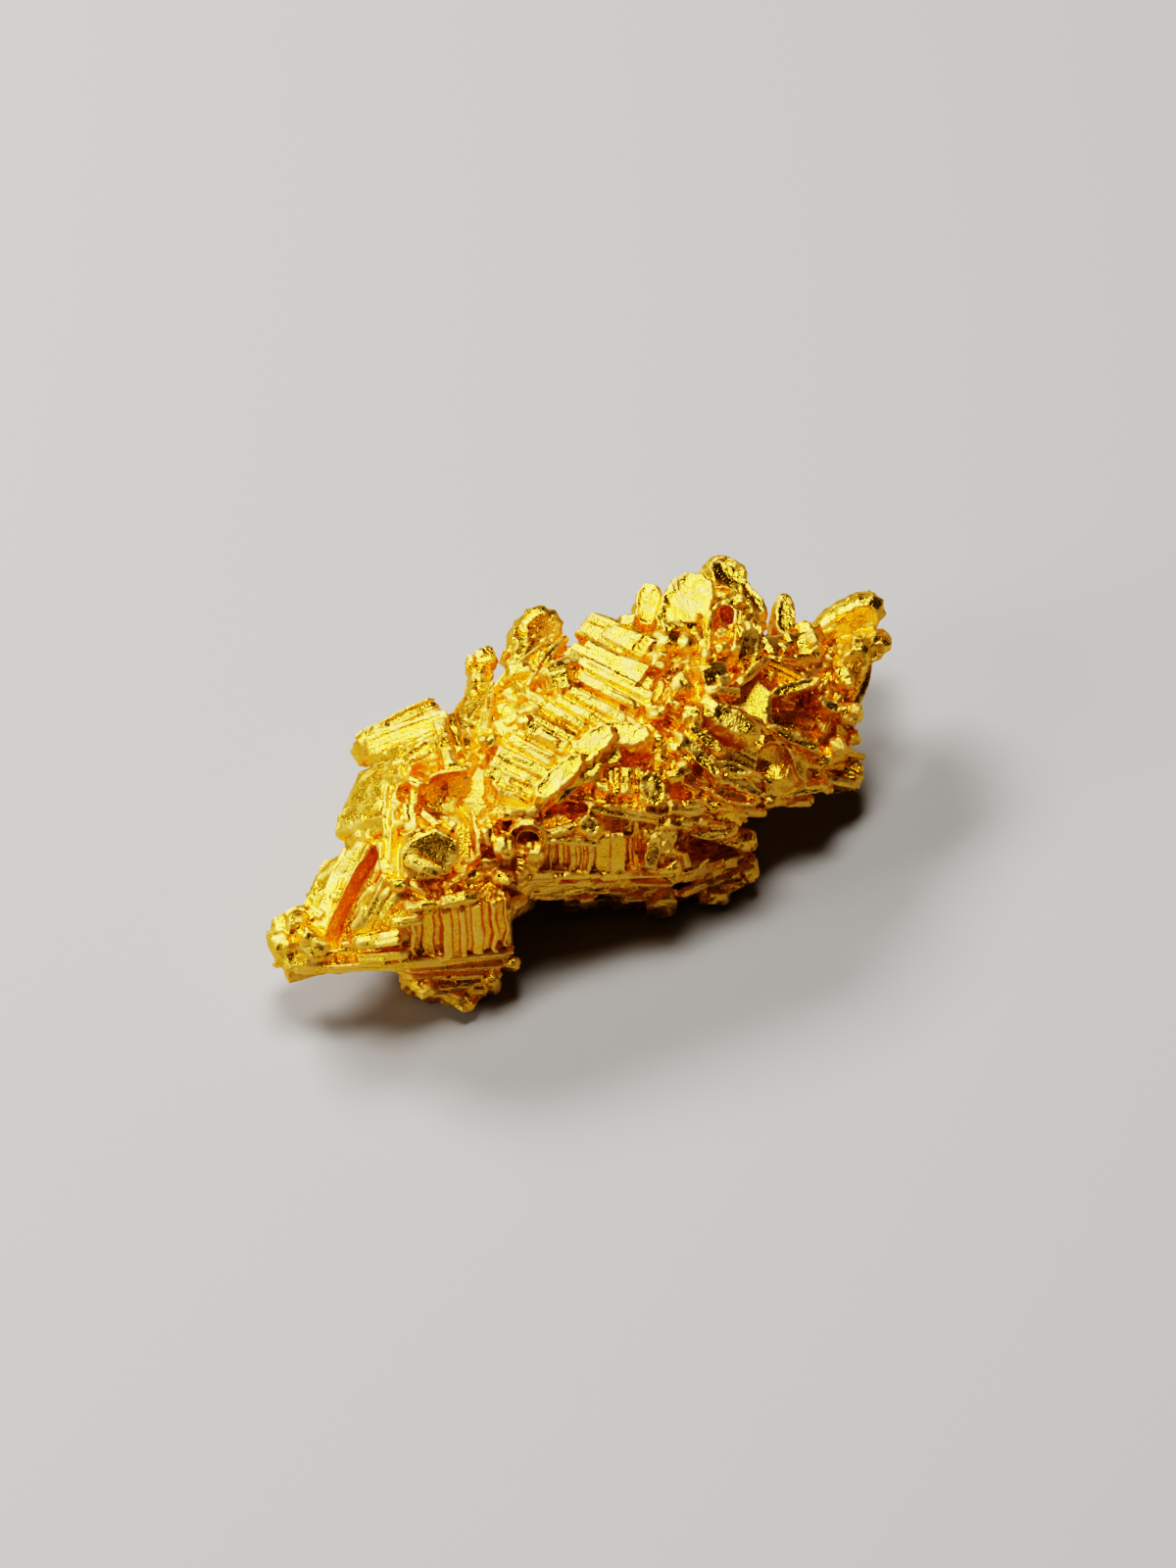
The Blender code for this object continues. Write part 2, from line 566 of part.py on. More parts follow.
def front_ledges():
    crystal((-0.1, -0.75), (2.6, -1.2), 0.45, depth=2.0, lift=0.55, section=half_round)
    blade((0.1, -1.4), 1.2, 0.9, 1.4, -30, lift=0.75)
    crystal((-1.6, -1.75), (-0.1, -1.35), 0.35, lift=0.55, section=half_round)
    crystal((-1.65, -1.9), (0.6, -2.0), 0.28, depth=2.0, lift=0.5, section=block)
    lobe((-0.6, -0.8), (1.3, 0.5, 1.2), 0.45, into=hollows)
    crystal((-2.0, -3.1), (0.6, -3.1), 0.34, depth=2.4, lift=0.35)
    crystal((0.4, -3.15), (3.1, -3.05), 0.36, depth=2.4, lift=0.35)


def middle_wall():
    crystal((-0.75, -1.9), (-0.75, -3.1), 1.9, depth=2.2, lift=0.15, section=comb(6, 0.35), tips=(1, 1))
    crystal((0.75, -1.7), (0.75, -3.1), 1.1, depth=2.2, lift=0.4, section=stairs(2, 0.12), tips=(0.9, 1))
    crystal((1.5, -1.3), (1.6, -3.3), 0.5, depth=2.0, lift=0.2, section=comb(3, 0.3), tips=(1, 1))
    crystal((2.4, -1.4), (2.5, -3.1), 1.4, depth=2.2, lift=0.4, tips=(0.85, 1))
    blade((2.2, -2.3), 1.5, 0.7, 1.4, 84, lift=0.55, edge=0.7)
    blade((2.75, -2.0), 1.1, 0.5, 1.4, 70, lift=0.5, edge=0.7)
    knob((2.75, -2.75), (0.7, 0.5, 0.9), 0.4)
    crystal((3.0, -2.1), (3.4, -3.0), 0.6, depth=2.0, lift=0.0, section=block)


def under_layers():
    """The dark layered plates under the front ledge, and the front foot."""
    crystal((-1.95, -3.5), (0.4, -3.5), 0.34, depth=2.8, lift=-0.1, section=stairs(2, 0.1))
    crystal((-1.8, -3.85), (0.1, -3.9), 0.3, depth=2.8, lift=-0.5)
    crystal((0.1, -3.45), (3.0, -3.4), 0.34, depth=2.8, lift=0.0)
    crystal((0.9, -3.75), (3.1, -3.7), 0.34, depth=2.8, lift=-0.5)
    knob((2.5, -4.1), (1.0, 0.6, 1.4), -0.6)
    knob((-0.3, -3.95), (1.1, 0.4, 2.2), -0.6)


def tail():
    """The knobbed bar low on the right, parted from the blades over it by a gap."""
    crystal((2.9, -3.2), (4.3, -2.95), 0.6, depth=2.2, lift=0.1, section=block)
    crystal((3.8, -3.75), (5.0, -3.4), 0.7, depth=2.2, lift=-0.5, section=block)
    crystal((4.1, -3.0), (5.7, -2.45), 0.85, depth=2.0, lift=0.1, section=block)
    knob((5.35, -1.95), (0.8, 0.6, 1.2), 0.1)
    knob((5.4, -2.8), (0.7, 0.7, 1.2), 0.0)
    knob((4.4, -3.75), (0.9, 0.6, 2.0), -0.8)
    crystal((3.2, -2.15), (4.4, -2.2), 0.5, depth=2.4, lift=0.9, into=hollows)
    crystal((3.5, -2.4), (4.1, -2.5), 0.4, depth=2.4, lift=0.9, into=hollows)


# --- the blades low on the right -------------------------------------------------------


def lower_blades():
    crystal((2.7, -0.85), (4.1, -0.8), 0.6, lift=0.7, section=half_round)
    crystal((2.6, -1.35), (3.7, -1.3), 0.4, lift=0.6, section=half_round)
    blade((5.05, -0.45), 2.3, 0.75, 1.6, -12, lift=0.8)
    blade((5.05, -0.42), 1.6, 0.36, 0.45, -12, lift=0.95, edge=0.8, into=hollows)
    crystal((4.3, -0.85), (6.25, -1.05), 0.4, lift=0.55, section=half_round)
    crystal((3.7, -1.3), (5.2, -1.55), 0.34, lift=0.6, section=half_round)
    blade((4.1, -1.75), 2.4, 0.5, 1.4, -4, lift=0.35)
    blade((3.8, 0.95), 2.5, 0.6, 2.0, -44, lift=1.05, edge=0.7)
    blade((5.25, -0.05), 2.1, 0.55, 2.0, -22, lift=1.15, edge=0.7)
    blade((4.9, 0.55), 2.0, 0.5, 1.6, -14, lift=1.0, edge=0.7)
    crystal((4.4, 0.15), (5.4, 0.05), 0.3, lift=0.9, section=block)
    blade((4.0, 1.5), 1.8, 0.55, 1.6, -36, lift=1.0, edge=0.7)
    blade((4.85, 2.2), 2.5, 1.25, 1.6, -27, lift=1.1)
    crystal((2.3, 0.5), (3.9, -0.3), 0.35, lift=0.6, section=roof)
    for centre in ((2.35, 1.5), (2.9, 1.1), (2.4, 0.85), (3.2, 0.6), (2.9, 0.2)):
        knob(centre, (0.6, 0.5, 1.0), 0.5)


def right_basin():
    """The concave faces right of the blades, the crests between them and the rim below."""
    blade((7.05, 1.55), 2.5, 0.5, 1.8, -22, lift=1.0, edge=0.7)
    blade((7.15, 0.6), 2.0, 0.42, 1.8, -58, lift=0.9, edge=0.6)
    blade((7.05, -0.28), 3.1, 0.5, 1.8, -2, lift=0.65, edge=0.75)
    crystal((6.2, -0.7), (7.9, -0.65), 0.4, depth=1.8, lift=0.2, section=half_round)
    lobe((6.3, 0.65), (1.6, 1.5, 1.6), 0.85, slant=-25, into=hollows)
    knob((8.5, 1.3), (0.6, 0.65, 1.0), 0.4)
    knob((9.1, 1.6), (0.45, 0.5, 0.8), 0.2)
    crystal((8.2, 0.75), (9.0, 0.95), 0.4, lift=0.4, section=block)
    crystal((8.6, 0.55), (9.5, 0.2), 0.36, lift=0.4, section=block)
    crystal((8.9, 0.95), (9.5, 0.45), 0.34, lift=0.2, section=half_round)
    crystal((8.2, 0.2), (9.3, -0.1), 0.3, lift=0.5, section=block)
    crystal((7.7, -0.05), (8.5, -0.3), 0.32, lift=0.7, section=half_round)


# --- the upper right -------------------------------------------------------------------


def dome():
    """Two tall broad crystals side by side, and a knobbed blade that falls away to the right."""
    lean = (NEAR + UP * 0.5).normalized()
    blade((2.05, 6.15), 2.2, 1.1, 2.4, 84, lift=0.3, face=lean, points=12, edge=0.7)
    blade((3.3, 6.1), 3.2, 2.0, 2.8, 70, lift=0.75, face=lean, points=12, edge=0.8)
    blade((3.5, 6.3), 2.3, 1.2, 2.0, 72, lift=0.95, face=lean, points=12, edge=0.6)
    crystal((4.05, 7.15), (3.75, 5.0), 0.5, depth=2.4, lift=0.75, section=roof)
    crystal((2.4, 5.2), (3.9, 5.5), 0.7, depth=2.2, lift=0.75, section=half_round)
    crystal((4.05, 6.95), (4.9, 6.3), 1.1, depth=2.4, lift=0.75)
    blade((5.15, 6.75), 3.1, 1.2, 2.0, -57, lift=0.0, points=12, edge=0.8)
    blade((4.85, 7.4), 1.5, 1.0, 1.6, -25, lift=0.1, points=12, edge=0.75)
    crystal((4.75, 7.2), (5.95, 5.3), 0.34, lift=0.45, section=roof)
    crystal((5.65, 6.6), (5.8, 5.3), 0.4, depth=1.8, lift=0.1)
    lobe((4.45, 6.6), (1.0, 0.8, 1.0), 0.85, slant=-35, into=hollows)


def doorway():
    """An arched frame about a dark hole, on steps."""
    crystal((4.0, 4.3), (4.15, 5.8), 0.34, lift=0.65, section=half_round)
    crystal((4.1, 5.75), (4.6, 6.25), 0.36, lift=0.75, section=half_round)
    crystal((4.55, 6.25), (5.15, 5.95), 0.36, lift=0.75, section=half_round)
    crystal((5.15, 6.05), (5.1, 4.6), 0.34, lift=0.7, section=block)
    crystal((4.35, 5.1), (4.9, 5.2), 0.4, lift=0.3, section=block)
    crystal((4.35, 4.6), (4.95, 4.75), 0.4, lift=0.5, section=block)
    lobe((4.65, 5.75), (0.7, 0.75, 2.0), 0.8, into=hollows)


def right_face():
    lean = (NEAR + RIGHT * 0.5).normalized()
    blade((5.45, 4.55), 2.0, 1.1, 1.6, 80, lift=0.35, face=lean, points=8, edge=0.75)
    crystal((5.2, 3.45), (6.3, 4.4), 0.35, lift=0.65, section=half_round)
    crystal((5.75, 5.4), (5.85, 4.6), 0.3, lift=0.5, section=block)
    crystal((3.85, 3.6), (4.85, 3.75), 0.85, depth=1.8, lift=0.85, face=NEAR, tips=(0.9, 0.9), tip=0.1)
    crystal((4.0, 3.2), (5.3, 3.1), 0.3, lift=0.75, section=block)
    lobe((2.55, 4.75), (1.5, 1.0, 1.8), 0.5)
    lobe((3.3, 4.7), (0.9, 0.9, 1.6), 0.55)
    knob((2.4, 4.15), (0.7, 0.6, 1.2), 0.45)
    knob((3.2, 3.3), (0.7, 0.8, 1.2), 0.55)
    knob((2.3, 2.5), (0.7, 0.5, 1.0), 0.5)
    knob((3.5, 2.3), (0.6, 0.8, 1.0), 0.75)
    knob((2.9, 2.75), (0.6, 0.4, 1.0), 0.55)
    blade((2.35, 3.3), 1.3, 0.5, 0.8, 62, lift=0.5, edge=0.9, into=hollows)


def far_right():
    """The fluted hollow, the shoulder over it, and the long blades at the end."""
    blade((7.05, 3.35), 2.5, 0.5, 2.0, 20, lift=1.0, edge=0.7)
    blade((8.25, 2.75), 1.2, 0.5, 1.8, -22, lift=0.9, edge=0.7)
    flutes = comb(7, 0.25)
    crystal((7.1, 3.0), (7.2, 1.85), 2.3, lift=0.9, section=flutes, tips=(1, 0.9), into=hollows)
    crystal((6.0, 4.15), (7.6, 3.4), 0.55, depth=1.8, lift=0.3, section=stairs(3, 0.12))
    shoulder = (NEAR + UP * 0.5).normalized()
    crystal((6.1, 4.75), (7.9, 4.95), 1.1, depth=1.8, lift=0.3, face=shoulder, tips=(0.8, 0.9))
    crystal((6.3, 4.3), (7.8, 4.35), 0.5, depth=1.6, lift=0.45, section=roof)
    knob((7.6, 4.6), (0.9, 1.0, 1.4), 0.3)
    blade((6.78, 5.85), 2.1, 0.85, 1.2, 80, lift=-0.3, points=12, edge=0.75)
    crystal((7.9, 4.7), (7.3, 5.75), 0.55, depth=1.2, lift=0.0, section=half_round)
    thin = (NEAR - UP * 0.3).normalized()
    blade((8.9, 5.35), 3.0, 1.5, 1.4, 34, lift=0.1, face=thin, points=12, edge=0.75)
    blade((9.25, 5.7), 2.0, 1.0, 1.4, 28, lift=0.0, face=thin, points=12, edge=0.75)
    blade((9.35, 4.4), 2.3, 0.95, 1.5, 20, lift=0.3, face=thin, points=12, edge=0.75)
    blade((8.95, 3.6), 2.7, 1.1, 1.6, 70, lift=0.3, face=thin, points=12, edge=0.8)
    crystal((9.6, 4.4), (9.05, 2.5), 0.6, 1.4, lift=0.15, section=stairs(2, 0.12), tips=(0.9, 0.6), tip=0.5)
    knob((8.75, 3.6), (0.7, 0.8, 1.0), 0.4)
    knob((8.9, 2.4), (0.8, 0.8, 1.2), 0.15)
    crystal((8.2, 4.3), (8.7, 4.6), 0.6, lift=0.55, section=half_round)


# --- the sides that face away ---------------------------------------------------------

BACK_STATIONS = (-9.0, -7.4, -6.0, -4.6, -3.2, -1.8, -0.4, 1.0, 2.4, 3.8, 5.2, 6.6, 7.9)
BACK_ANGLES = (55, 88, 122, 160, 205, 240)
GRAIN = ((0.95, 0.05, 0.3), (0.3, 0.2, 0.93), (0.55, 0.75, -0.35))  # the directions that crystals grow in


def overshoot(points):
    """How far points stand outside the body's outline as the viewer sees it."""
    worst = 0.0
    for p in points:
        u, v = p.dot(RIGHT), p.dot(UP)
        centre, r = body_at(u)
        beyond = max(abs(v - centre) - 0.9 * r, BODY[1][0] - u, u - BODY[-2][0] + 0.4)
        worst = max(worst, beyond)
    return worst


def back():
    """Crystals all over the back, the underside and the far end, along the same three directions."""
    for i, u in enumerate(BACK_STATIONS):
        for k, angle in enumerate(BACK_ANGLES):
            where = u + rng.uniform(-0.4, 0.4), angle + rng.uniform(-10, 10), rng.uniform(-0.45, 0.25)
            place, out = round_the_back(*where)
            reach = body_at(u)[1] / 5
            along = Vector(GRAIN[(i + k) % 3]).normalized()
            along = (along - out * along.dot(out) * 0.8).normalized()
            half = along * rng.uniform(0.9, 1.5) * reach
            width = rng.uniform(0.8, 1.5) * reach
            section = (block, comb(4, 0.18), half_round, roof)[(i + 2 * k) % 4]
            place = place - out * overshoot((place - half, place, place + half)) * 1.3
            rings = ((0, 0.75), (0.15, 1), (0.85, 1), (1, 0.75))
            bm = loft(section(width, BACK_DEPTH), place - half, place + half, out, rings)
            roughen(bm, width)
            solid("back_crystal", bm, grown)


def ground_cut():
    """Cuts the feet flat where they touch the ground."""
    bm = bmesh.new()
    bmesh.ops.create_cube(bm, size=1)
    size = Matrix.Diagonal((60, 40, 10, 1))
    bmesh.ops.transform(bm, matrix=Matrix.Translation((0, 0, GROUND - 5)) @ size, verts=bm.verts)
    solid("ground_cut", bm, hollows)


# Feet: place along the body and across it, spread each way, height, number of crystals, and their size.
FEET = (
    (-4.6, 2.4, 1.5, 0.9, 3.4, 9, 1.0),
    (-7.0, -2.8, 0.7, 0.45, 1.4, 6, 0.75),
    (0.9, -2.85, 0.6, 0.3, 1.4, 5, 0.6),
    (3.6, 2.2, 1.6, 1.0, 3.4, 9, 1.0),
)
# Bellies: place along the body and across it, length, breadth and height.
BELLY = ((-0.6, 0.6, 5.0, 3.6, 2.2), (-5.6, 0.2, 3.0, 3.0, 2.4), (4.4, 0.0, 3.0, 2.6, 2.4))


def blunt(place, size, turn):
    """A bevelled block of these sizes, turned about the vertical."""
    bm = bmesh.new()
    bmesh.ops.create_cube(bm, size=1)
    bmesh.ops.bevel(bm, geom=bm.edges[:], offset=FOOT_BEVEL, segments=1, affect="EDGES")
    roughen(bm, RUGGED)
    sideways = Matrix.Rotation(rng.uniform(-0.35, 0.35), 4, "X")
    lean = sideways @ Matrix.Rotation(rng.uniform(-0.35, 0.35), 4, "Y")
    stretch = Matrix.Diagonal((*size, 1))
    matrix = Matrix.Translation(place) @ Matrix.Rotation(turn, 4, "Z") @ lean @ stretch
    bmesh.ops.transform(bm, matrix=matrix, verts=bm.verts)
    solid("foot", bm, grown)


def feet():
    """Clusters of blunt crystals that carry the nugget, and a belly that stops short of the ground."""
    for x, y, along, across, height, count, share in FEET:
        for i in range(count):
            angle = 2.4 * i
            reach = math.sqrt(i / count)
            place = Vector((x + along * reach * math.cos(angle), y + across * reach * math.sin(angle), 0))
            place.z = GROUND - 0.3 + height / 2 + rng.uniform(0, 0.12)
            size = (rng.uniform(1.0, 1.7) * share, rng.uniform(0.8, 1.4) * share, height)
            blunt(place, size, rng.uniform(-0.6, 0.6))
    for x, y, length, breadth, height in BELLY:
        place = Vector((x, y, GROUND + 0.6 + height / 2))
        blunt(place, (length, breadth, height), rng.uniform(-0.4, 0.4))


# --- the whole --------------------------------------------------------------------------


def gold():
    material = bpy.data.materials.new("gold")
    material.use_nodes = True
    shader = material.node_tree.nodes["Principled BSDF"]
    shader.inputs["Base Color"].default_value = GOLD_COLOUR
    shader.inputs["Metallic"].default_value = 1
    shader.inputs["Roughness"].default_value = GOLD_ROUGHNESS
    material.diffuse_color = GOLD_COLOUR
    return material


def combine(obj, name, operation, collection):
    """MANIFOLD, because EXACT leaves open edges where this many crystals overlap."""
    modifier = obj.modifiers.new(name, "BOOLEAN")
    modifier.operation = operation
    modifier.operand_type = "COLLECTION"
    modifier.collection = collection
    modifier.solver = "MANIFOLD"


def applied(obj):
    """The object's mesh with its modifiers applied."""
    bpy.context.view_layer.update()
    graph = bpy.context.evaluated_depsgraph_get()
    return bpy.data.meshes.new_from_object(obj.evaluated_get(graph))


def straighten(mesh):
    """Drops the points partway along an edge, where two faces could split alike, and splits the faces."""
    shape = bmesh.new()
    shape.from_mesh(mesh)
    partway = [point for point in shape.verts if len(point.link_edges) == 2]
    while partway:
        bmesh.ops.dissolve_verts(shape, verts=partway)
        partway = [point for point in shape.verts if len(point.link_edges) == 2]
    bmesh.ops.triangulate(shape, faces=shape.faces)
    shape.to_mesh(mesh)
    shape.free()


def largest_shell(mesh):
    """Takes away loose crumbs and closed voids, so that one solid is left."""
    bm = bmesh.new()
    bm.from_mesh(mesh)
    shells = []
    seen = set()
    for first in bm.verts:
        if first in seen:
            continue
        shell = []
        front = [first]
        seen.add(first)
        while front:
            vert = front.pop()
            shell.append(vert)
            for link in vert.link_edges:
                other = link.other_vert(vert)
                if other not in seen:
                    seen.add(other)
                    front.append(other)
        shells.append(shell)
    shells.sort(key=len)
    bmesh.ops.delete(bm, geom=[v for shell in shells[:-1] for v in shell], context="VERTS")
    bm.to_mesh(mesh)
    bm.free()


def build():
    scene_root = bpy.context.scene.collection
    part = bpy.data.collections.new("gold_nugget")
    for collection in (part, grown, hollows, late):
        scene_root.children.link(collection)

    left_end = (left_tip, prow, small_prism, upper_left_prism, arch, dark_hexagon, left_front, left_wall)
    middle = (bowl, hooks, column, arc_hopper, leaf_crystal, striated_block)
    front = (front_crest, front_ledges, middle_wall, under_layers, tail)
    right_end = (lower_blades, right_basin, dome, doorway, right_face, far_right)
    for region in (core, masses, *left_end, *middle, *front, *right_end, back, feet, ground_cut):
        rng.seed(region.__name__)
        region()

    nugget = grown.objects[0]
    grown.objects.unlink(nugget)
    part.objects.link(nugget)
    nugget.name = "nugget"
    nugget.hide_render = False
    nugget.display_type = "TEXTURED"
    combine(nugget, "grow", "UNION", grown)
    combine(nugget, "hollow", "DIFFERENCE", hollows)
    combine(nugget, "grow_late", "UNION", late)
    nugget.data = applied(nugget)
    nugget.modifiers.clear()
    largest_shell(nugget.data)
    straighten(nugget.data)
    facets = nugget.modifiers.new("facets", "DECIMATE")
    facets.ratio = FACETS / len(nugget.data.polygons)
    nugget.data.materials.append(gold())

    for obj in [*grown.objects, *hollows.objects, *late.objects]:
        bpy.data.objects.remove(obj)
    across = [vert.co.x for vert in nugget.data.vertices]
    deep = [vert.co.y for vert in nugget.data.vertices]
    nugget.location = (
        -(min(across) + max(across)) / 2,
        -(min(deep) + max(deep)) / 2,
        -GROUND * MM,
    )


build()
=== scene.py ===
"""The looks of the crystalline gold nugget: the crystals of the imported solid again, with their striations,
layers, worn rims and crumbs, fused into one dense skin of frosted gold.

The crystals are laid out as they face someone who stands to the left of the front and looks down on them.
A place is (right, up) in millimetres in that view, and a lift above the nugget's body toward the viewer.
"""

import json
import math
import random

import bmesh
import bpy
import numpy as np
import openvdb
from mathutils import Matrix, Vector

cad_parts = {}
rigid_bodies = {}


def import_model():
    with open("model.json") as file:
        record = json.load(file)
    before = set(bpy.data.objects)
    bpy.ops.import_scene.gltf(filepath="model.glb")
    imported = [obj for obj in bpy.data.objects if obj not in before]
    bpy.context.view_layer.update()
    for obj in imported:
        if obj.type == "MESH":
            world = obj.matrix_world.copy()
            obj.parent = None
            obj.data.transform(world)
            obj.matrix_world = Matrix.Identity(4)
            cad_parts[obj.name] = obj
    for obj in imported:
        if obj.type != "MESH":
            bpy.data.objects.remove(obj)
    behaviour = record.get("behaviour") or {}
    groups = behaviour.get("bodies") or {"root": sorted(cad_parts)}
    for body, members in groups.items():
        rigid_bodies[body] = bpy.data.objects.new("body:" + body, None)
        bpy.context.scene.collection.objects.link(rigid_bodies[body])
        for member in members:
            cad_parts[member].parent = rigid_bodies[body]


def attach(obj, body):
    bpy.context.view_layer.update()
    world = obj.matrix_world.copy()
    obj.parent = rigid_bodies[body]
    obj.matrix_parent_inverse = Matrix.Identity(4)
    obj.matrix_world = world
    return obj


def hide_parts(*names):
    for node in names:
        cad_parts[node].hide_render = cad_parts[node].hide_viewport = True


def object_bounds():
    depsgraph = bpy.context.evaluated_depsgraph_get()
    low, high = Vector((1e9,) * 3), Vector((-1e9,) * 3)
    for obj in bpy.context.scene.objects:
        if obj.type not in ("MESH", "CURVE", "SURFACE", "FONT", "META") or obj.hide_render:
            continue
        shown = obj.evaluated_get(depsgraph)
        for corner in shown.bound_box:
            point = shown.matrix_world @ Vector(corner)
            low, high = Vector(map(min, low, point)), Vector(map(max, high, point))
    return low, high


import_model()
cad_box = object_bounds()

MM = 0.001
REST_OFFSET = Vector((-0.0477, -0.2998, 3.75))  # from the crystals' own frame to the part's, in millimetres

# The viewer's directions in the part's own frame: +X along the nugget, +Z up.
VIEW_TURN = math.radians(-34)
VIEW_TILT = math.radians(41)
RIGHT = Vector((math.cos(VIEW_TURN), math.sin(VIEW_TURN), 0))
NEAR = Vector(
    (
        math.sin(VIEW_TURN) * math.cos(VIEW_TILT),
        -math.cos(VIEW_TURN) * math.cos(VIEW_TILT),
        math.sin(VIEW_TILT),
    )
)
UP = NEAR.cross(RIGHT)

# The body under the crystals, as stations along its axis: right, up, half width.
BODY = (
    (-11.0, -5.0, 0.7),
    (-10.0, -5.1, 1.2),
    (-8.8, -4.5, 1.7),
    (-7.8, -3.6, 2.5),
    (-6.8, -2.6, 3.6),
    (-6.0, -2.1, 4.3),
    (-3.5, -1.4, 4.8),
    (-2.0, 0.5, 4.5),
    (0.0, 0.9, 4.7),
    (3.0, 1.6, 5.0),
    (5.0, 2.2, 4.8),
    (6.5, 2.6, 3.6),
    (8.0, 2.8, 3.0),
    (9.5, 3.6, 1.8),
    (10.4, 4.6, 0.7),
)
BODY_FALL = -0.51  # how far the axis runs away from the viewer for each mm to the right
FLATNESS = 1.25  # width of the body over its height
CORE_INSET = 0.8  # from the crystals' outer faces to the core
GROUND = -3.75  # height of the surface that the nugget rests on, below the axis at right = 0

DEPTH = 1.6  # of a crystal below its outer face
CHAMFER = 0.16  # share of a crystal's width
JITTER = 0.035  # how uneven the corners are, as a share of the crystal's size
STRIA_PITCH = 0.17
STRIA_RELIEF = 0.07
ALL_ROUND = 99  # a depth that no point of an outline reaches, so that every face is striated
BEND = 0.03  # how far a crystal's rings stray from its axis
RAGGED = 0.14  # how unevenly the ridges of a crystal end
HOOK_SIDES = 10
HOOK_DEPTH = 2.2  # times a hook's thickness
CLEFT_WIDTH = 0.3  # clefts narrower than this are grown together
CLEFT_DEPTH = 0.13  # how deep their ground lies under the faces beside them
LAYER = 0.055  # thickness of the thin layers on a crystal's face
LAYER_DEPTH = 0.3  # of a layer, most of it inside the crystal
WORN_BULGE = 0.03  # how far a point stands out of its surroundings where it is fully worn
RIM_BULGE = 0.05
DEEP_BULGE = 0.25
LUMP_SIZE, LUMP_RELIEF = 0.45, 0.05
GRAIN_SIZE, GRAIN_RELIEF = 0.09, 0.05

FUSE_GRID = 0.045  # finest detail of the fused skin
SKIN_TRIANGLES = 960000
PIECE_FACES = 195000  # triangles in one piece of the skin

rng = random.Random()  # seeded afresh for each region


# --- places -----------------------------------------------------------------


def body_at(u):
    """Centre height and half width of the body at this distance to the right."""
    u = min(max(u, BODY[0][0]), BODY[-1][0])
    for (u0, v0, r0), (u1, v1, r1) in zip(BODY, BODY[1:]):
        if u <= u1:
            t = (u - u0) / (u1 - u0)
            return v0 + (v1 - v0) * t, r0 + (r1 - r0) * t
    return BODY[-1][1], BODY[-1][2]


def near_at(u, v):
    """How near the viewer the body's outside is, for an elliptical section of half width r."""
    centre, r = body_at(u)
    rise = v - centre
    y_up, y_near, z_up, z_near = UP.y, NEAR.y, UP.z * FLATNESS, NEAR.z * FLATNESS
    a = y_near**2 + z_near**2
    b = (y_up * y_near + z_up * z_near) * rise
    c = (y_up**2 + z_up**2) * rise**2 - r**2
    return BODY_FALL * u + (-b + math.sqrt(max(0.0, b * b - a * c))) / a


def spot(u, v, lift=0.0):
    return RIGHT * u + UP * v + NEAR * (near_at(u, v) + lift)


def outward(u, v):
    """The body's outward direction there, turned halfway to the viewer."""
    step = 0.2
    du = (near_at(u + step, v) - near_at(u - step, v)) / (2 * step)
    dv = (near_at(u, v + step) - near_at(u, v - step)) / (2 * step)
    slope = (RIGHT * -du + UP * -dv + NEAR).normalized()
    return (slope + NEAR).normalized()


def round_the_back(u, angle, lift=0.0):
    """A place on the body's section at u, and its outward direction. Angle 0 is the top, 90 the back."""
    centre, r = body_at(u)
    axis = RIGHT * u + UP * centre + NEAR * (BODY_FALL * u)
    a = math.radians(angle)
    out = Vector((0, math.sin(a), math.cos(a) * FLATNESS)).normalized()
    return axis + Vector((0, math.sin(a) * r, math.cos(a) * r / FLATNESS)) + out * lift, out


# --- cross-sections, as (across, out) with the outer face at 0 ----------------


def block(width, depth):
    c = CHAMFER * width
    w = width / 2
    return [(-w + c, 0), (w - c, 0), (w, -c), (w, -depth), (-w, -depth), (-w, -c)]


def roof(width, depth):
    w = width / 2
    return [(0, 0), (w, -0.45 * width), (w, -depth), (-w, -depth), (-w, -0.45 * width)]


def half_round(width, depth):
    w = width / 2
    arc = [(w * math.sin(a), w * (math.cos(a) - 1)) for a in (-1.2, -0.4, 0.4, 1.2)]
    return arc + [(w, -depth), (-w, -depth)]


def comb(ridges, groove):
    """A section whose outer face has this many uneven ridges."""

    def section(width, depth):
        shares = [rng.uniform(0.5, 1.5) for _ in range(ridges)]
        left = -width / 2
        points = []
        for i, share in enumerate(shares):
            pitch = width * share / sum(shares)
            top = -groove * 0.6 * rng.random()
            crest = rng.uniform(0.3, 0.65)
            points += [(left + 0.08 * pitch, top), (left + crest * pitch, top)]
            if i < ridges - 1:
                floor = top - groove * rng.uniform(0.4, 1.0)
                points += [(left + (crest + 0.14) * pitch, floor), (left + 0.94 * pitch, floor)]
            left += pitch
        return points + [(width / 2, -depth), (-width / 2, -depth)]

    return section


def stairs(steps, drop):
    """A section whose outer face goes down in steps from one side to the other."""

    def section(width, depth):
        tread = width / steps
        points = []
        for i in range(steps):
            left = -width / 2 + i * tread
            points += [(left, -i * drop), (left + 0.85 * tread, -i * drop)]
        return points + [(width / 2, -depth), (-width / 2, -depth)]

    return section


def leaf(length, width, points=10):
    """A full oval outline, long way up."""

    def fuller(share):
        return math.copysign(abs(share) ** 0.8, share)

    angles = [2 * math.pi * i / points for i in range(points)]
    return [(width / 2 * fuller(math.sin(a)), length / 2 * fuller(math.cos(a))) for a in angles]


# --- solids -------------------------------------------------------------------

grown = bpy.data.collections.new("nugget_growth")
hollows = bpy.data.collections.new("nugget_hollows")
late = bpy.data.collections.new("nugget_late_growth")


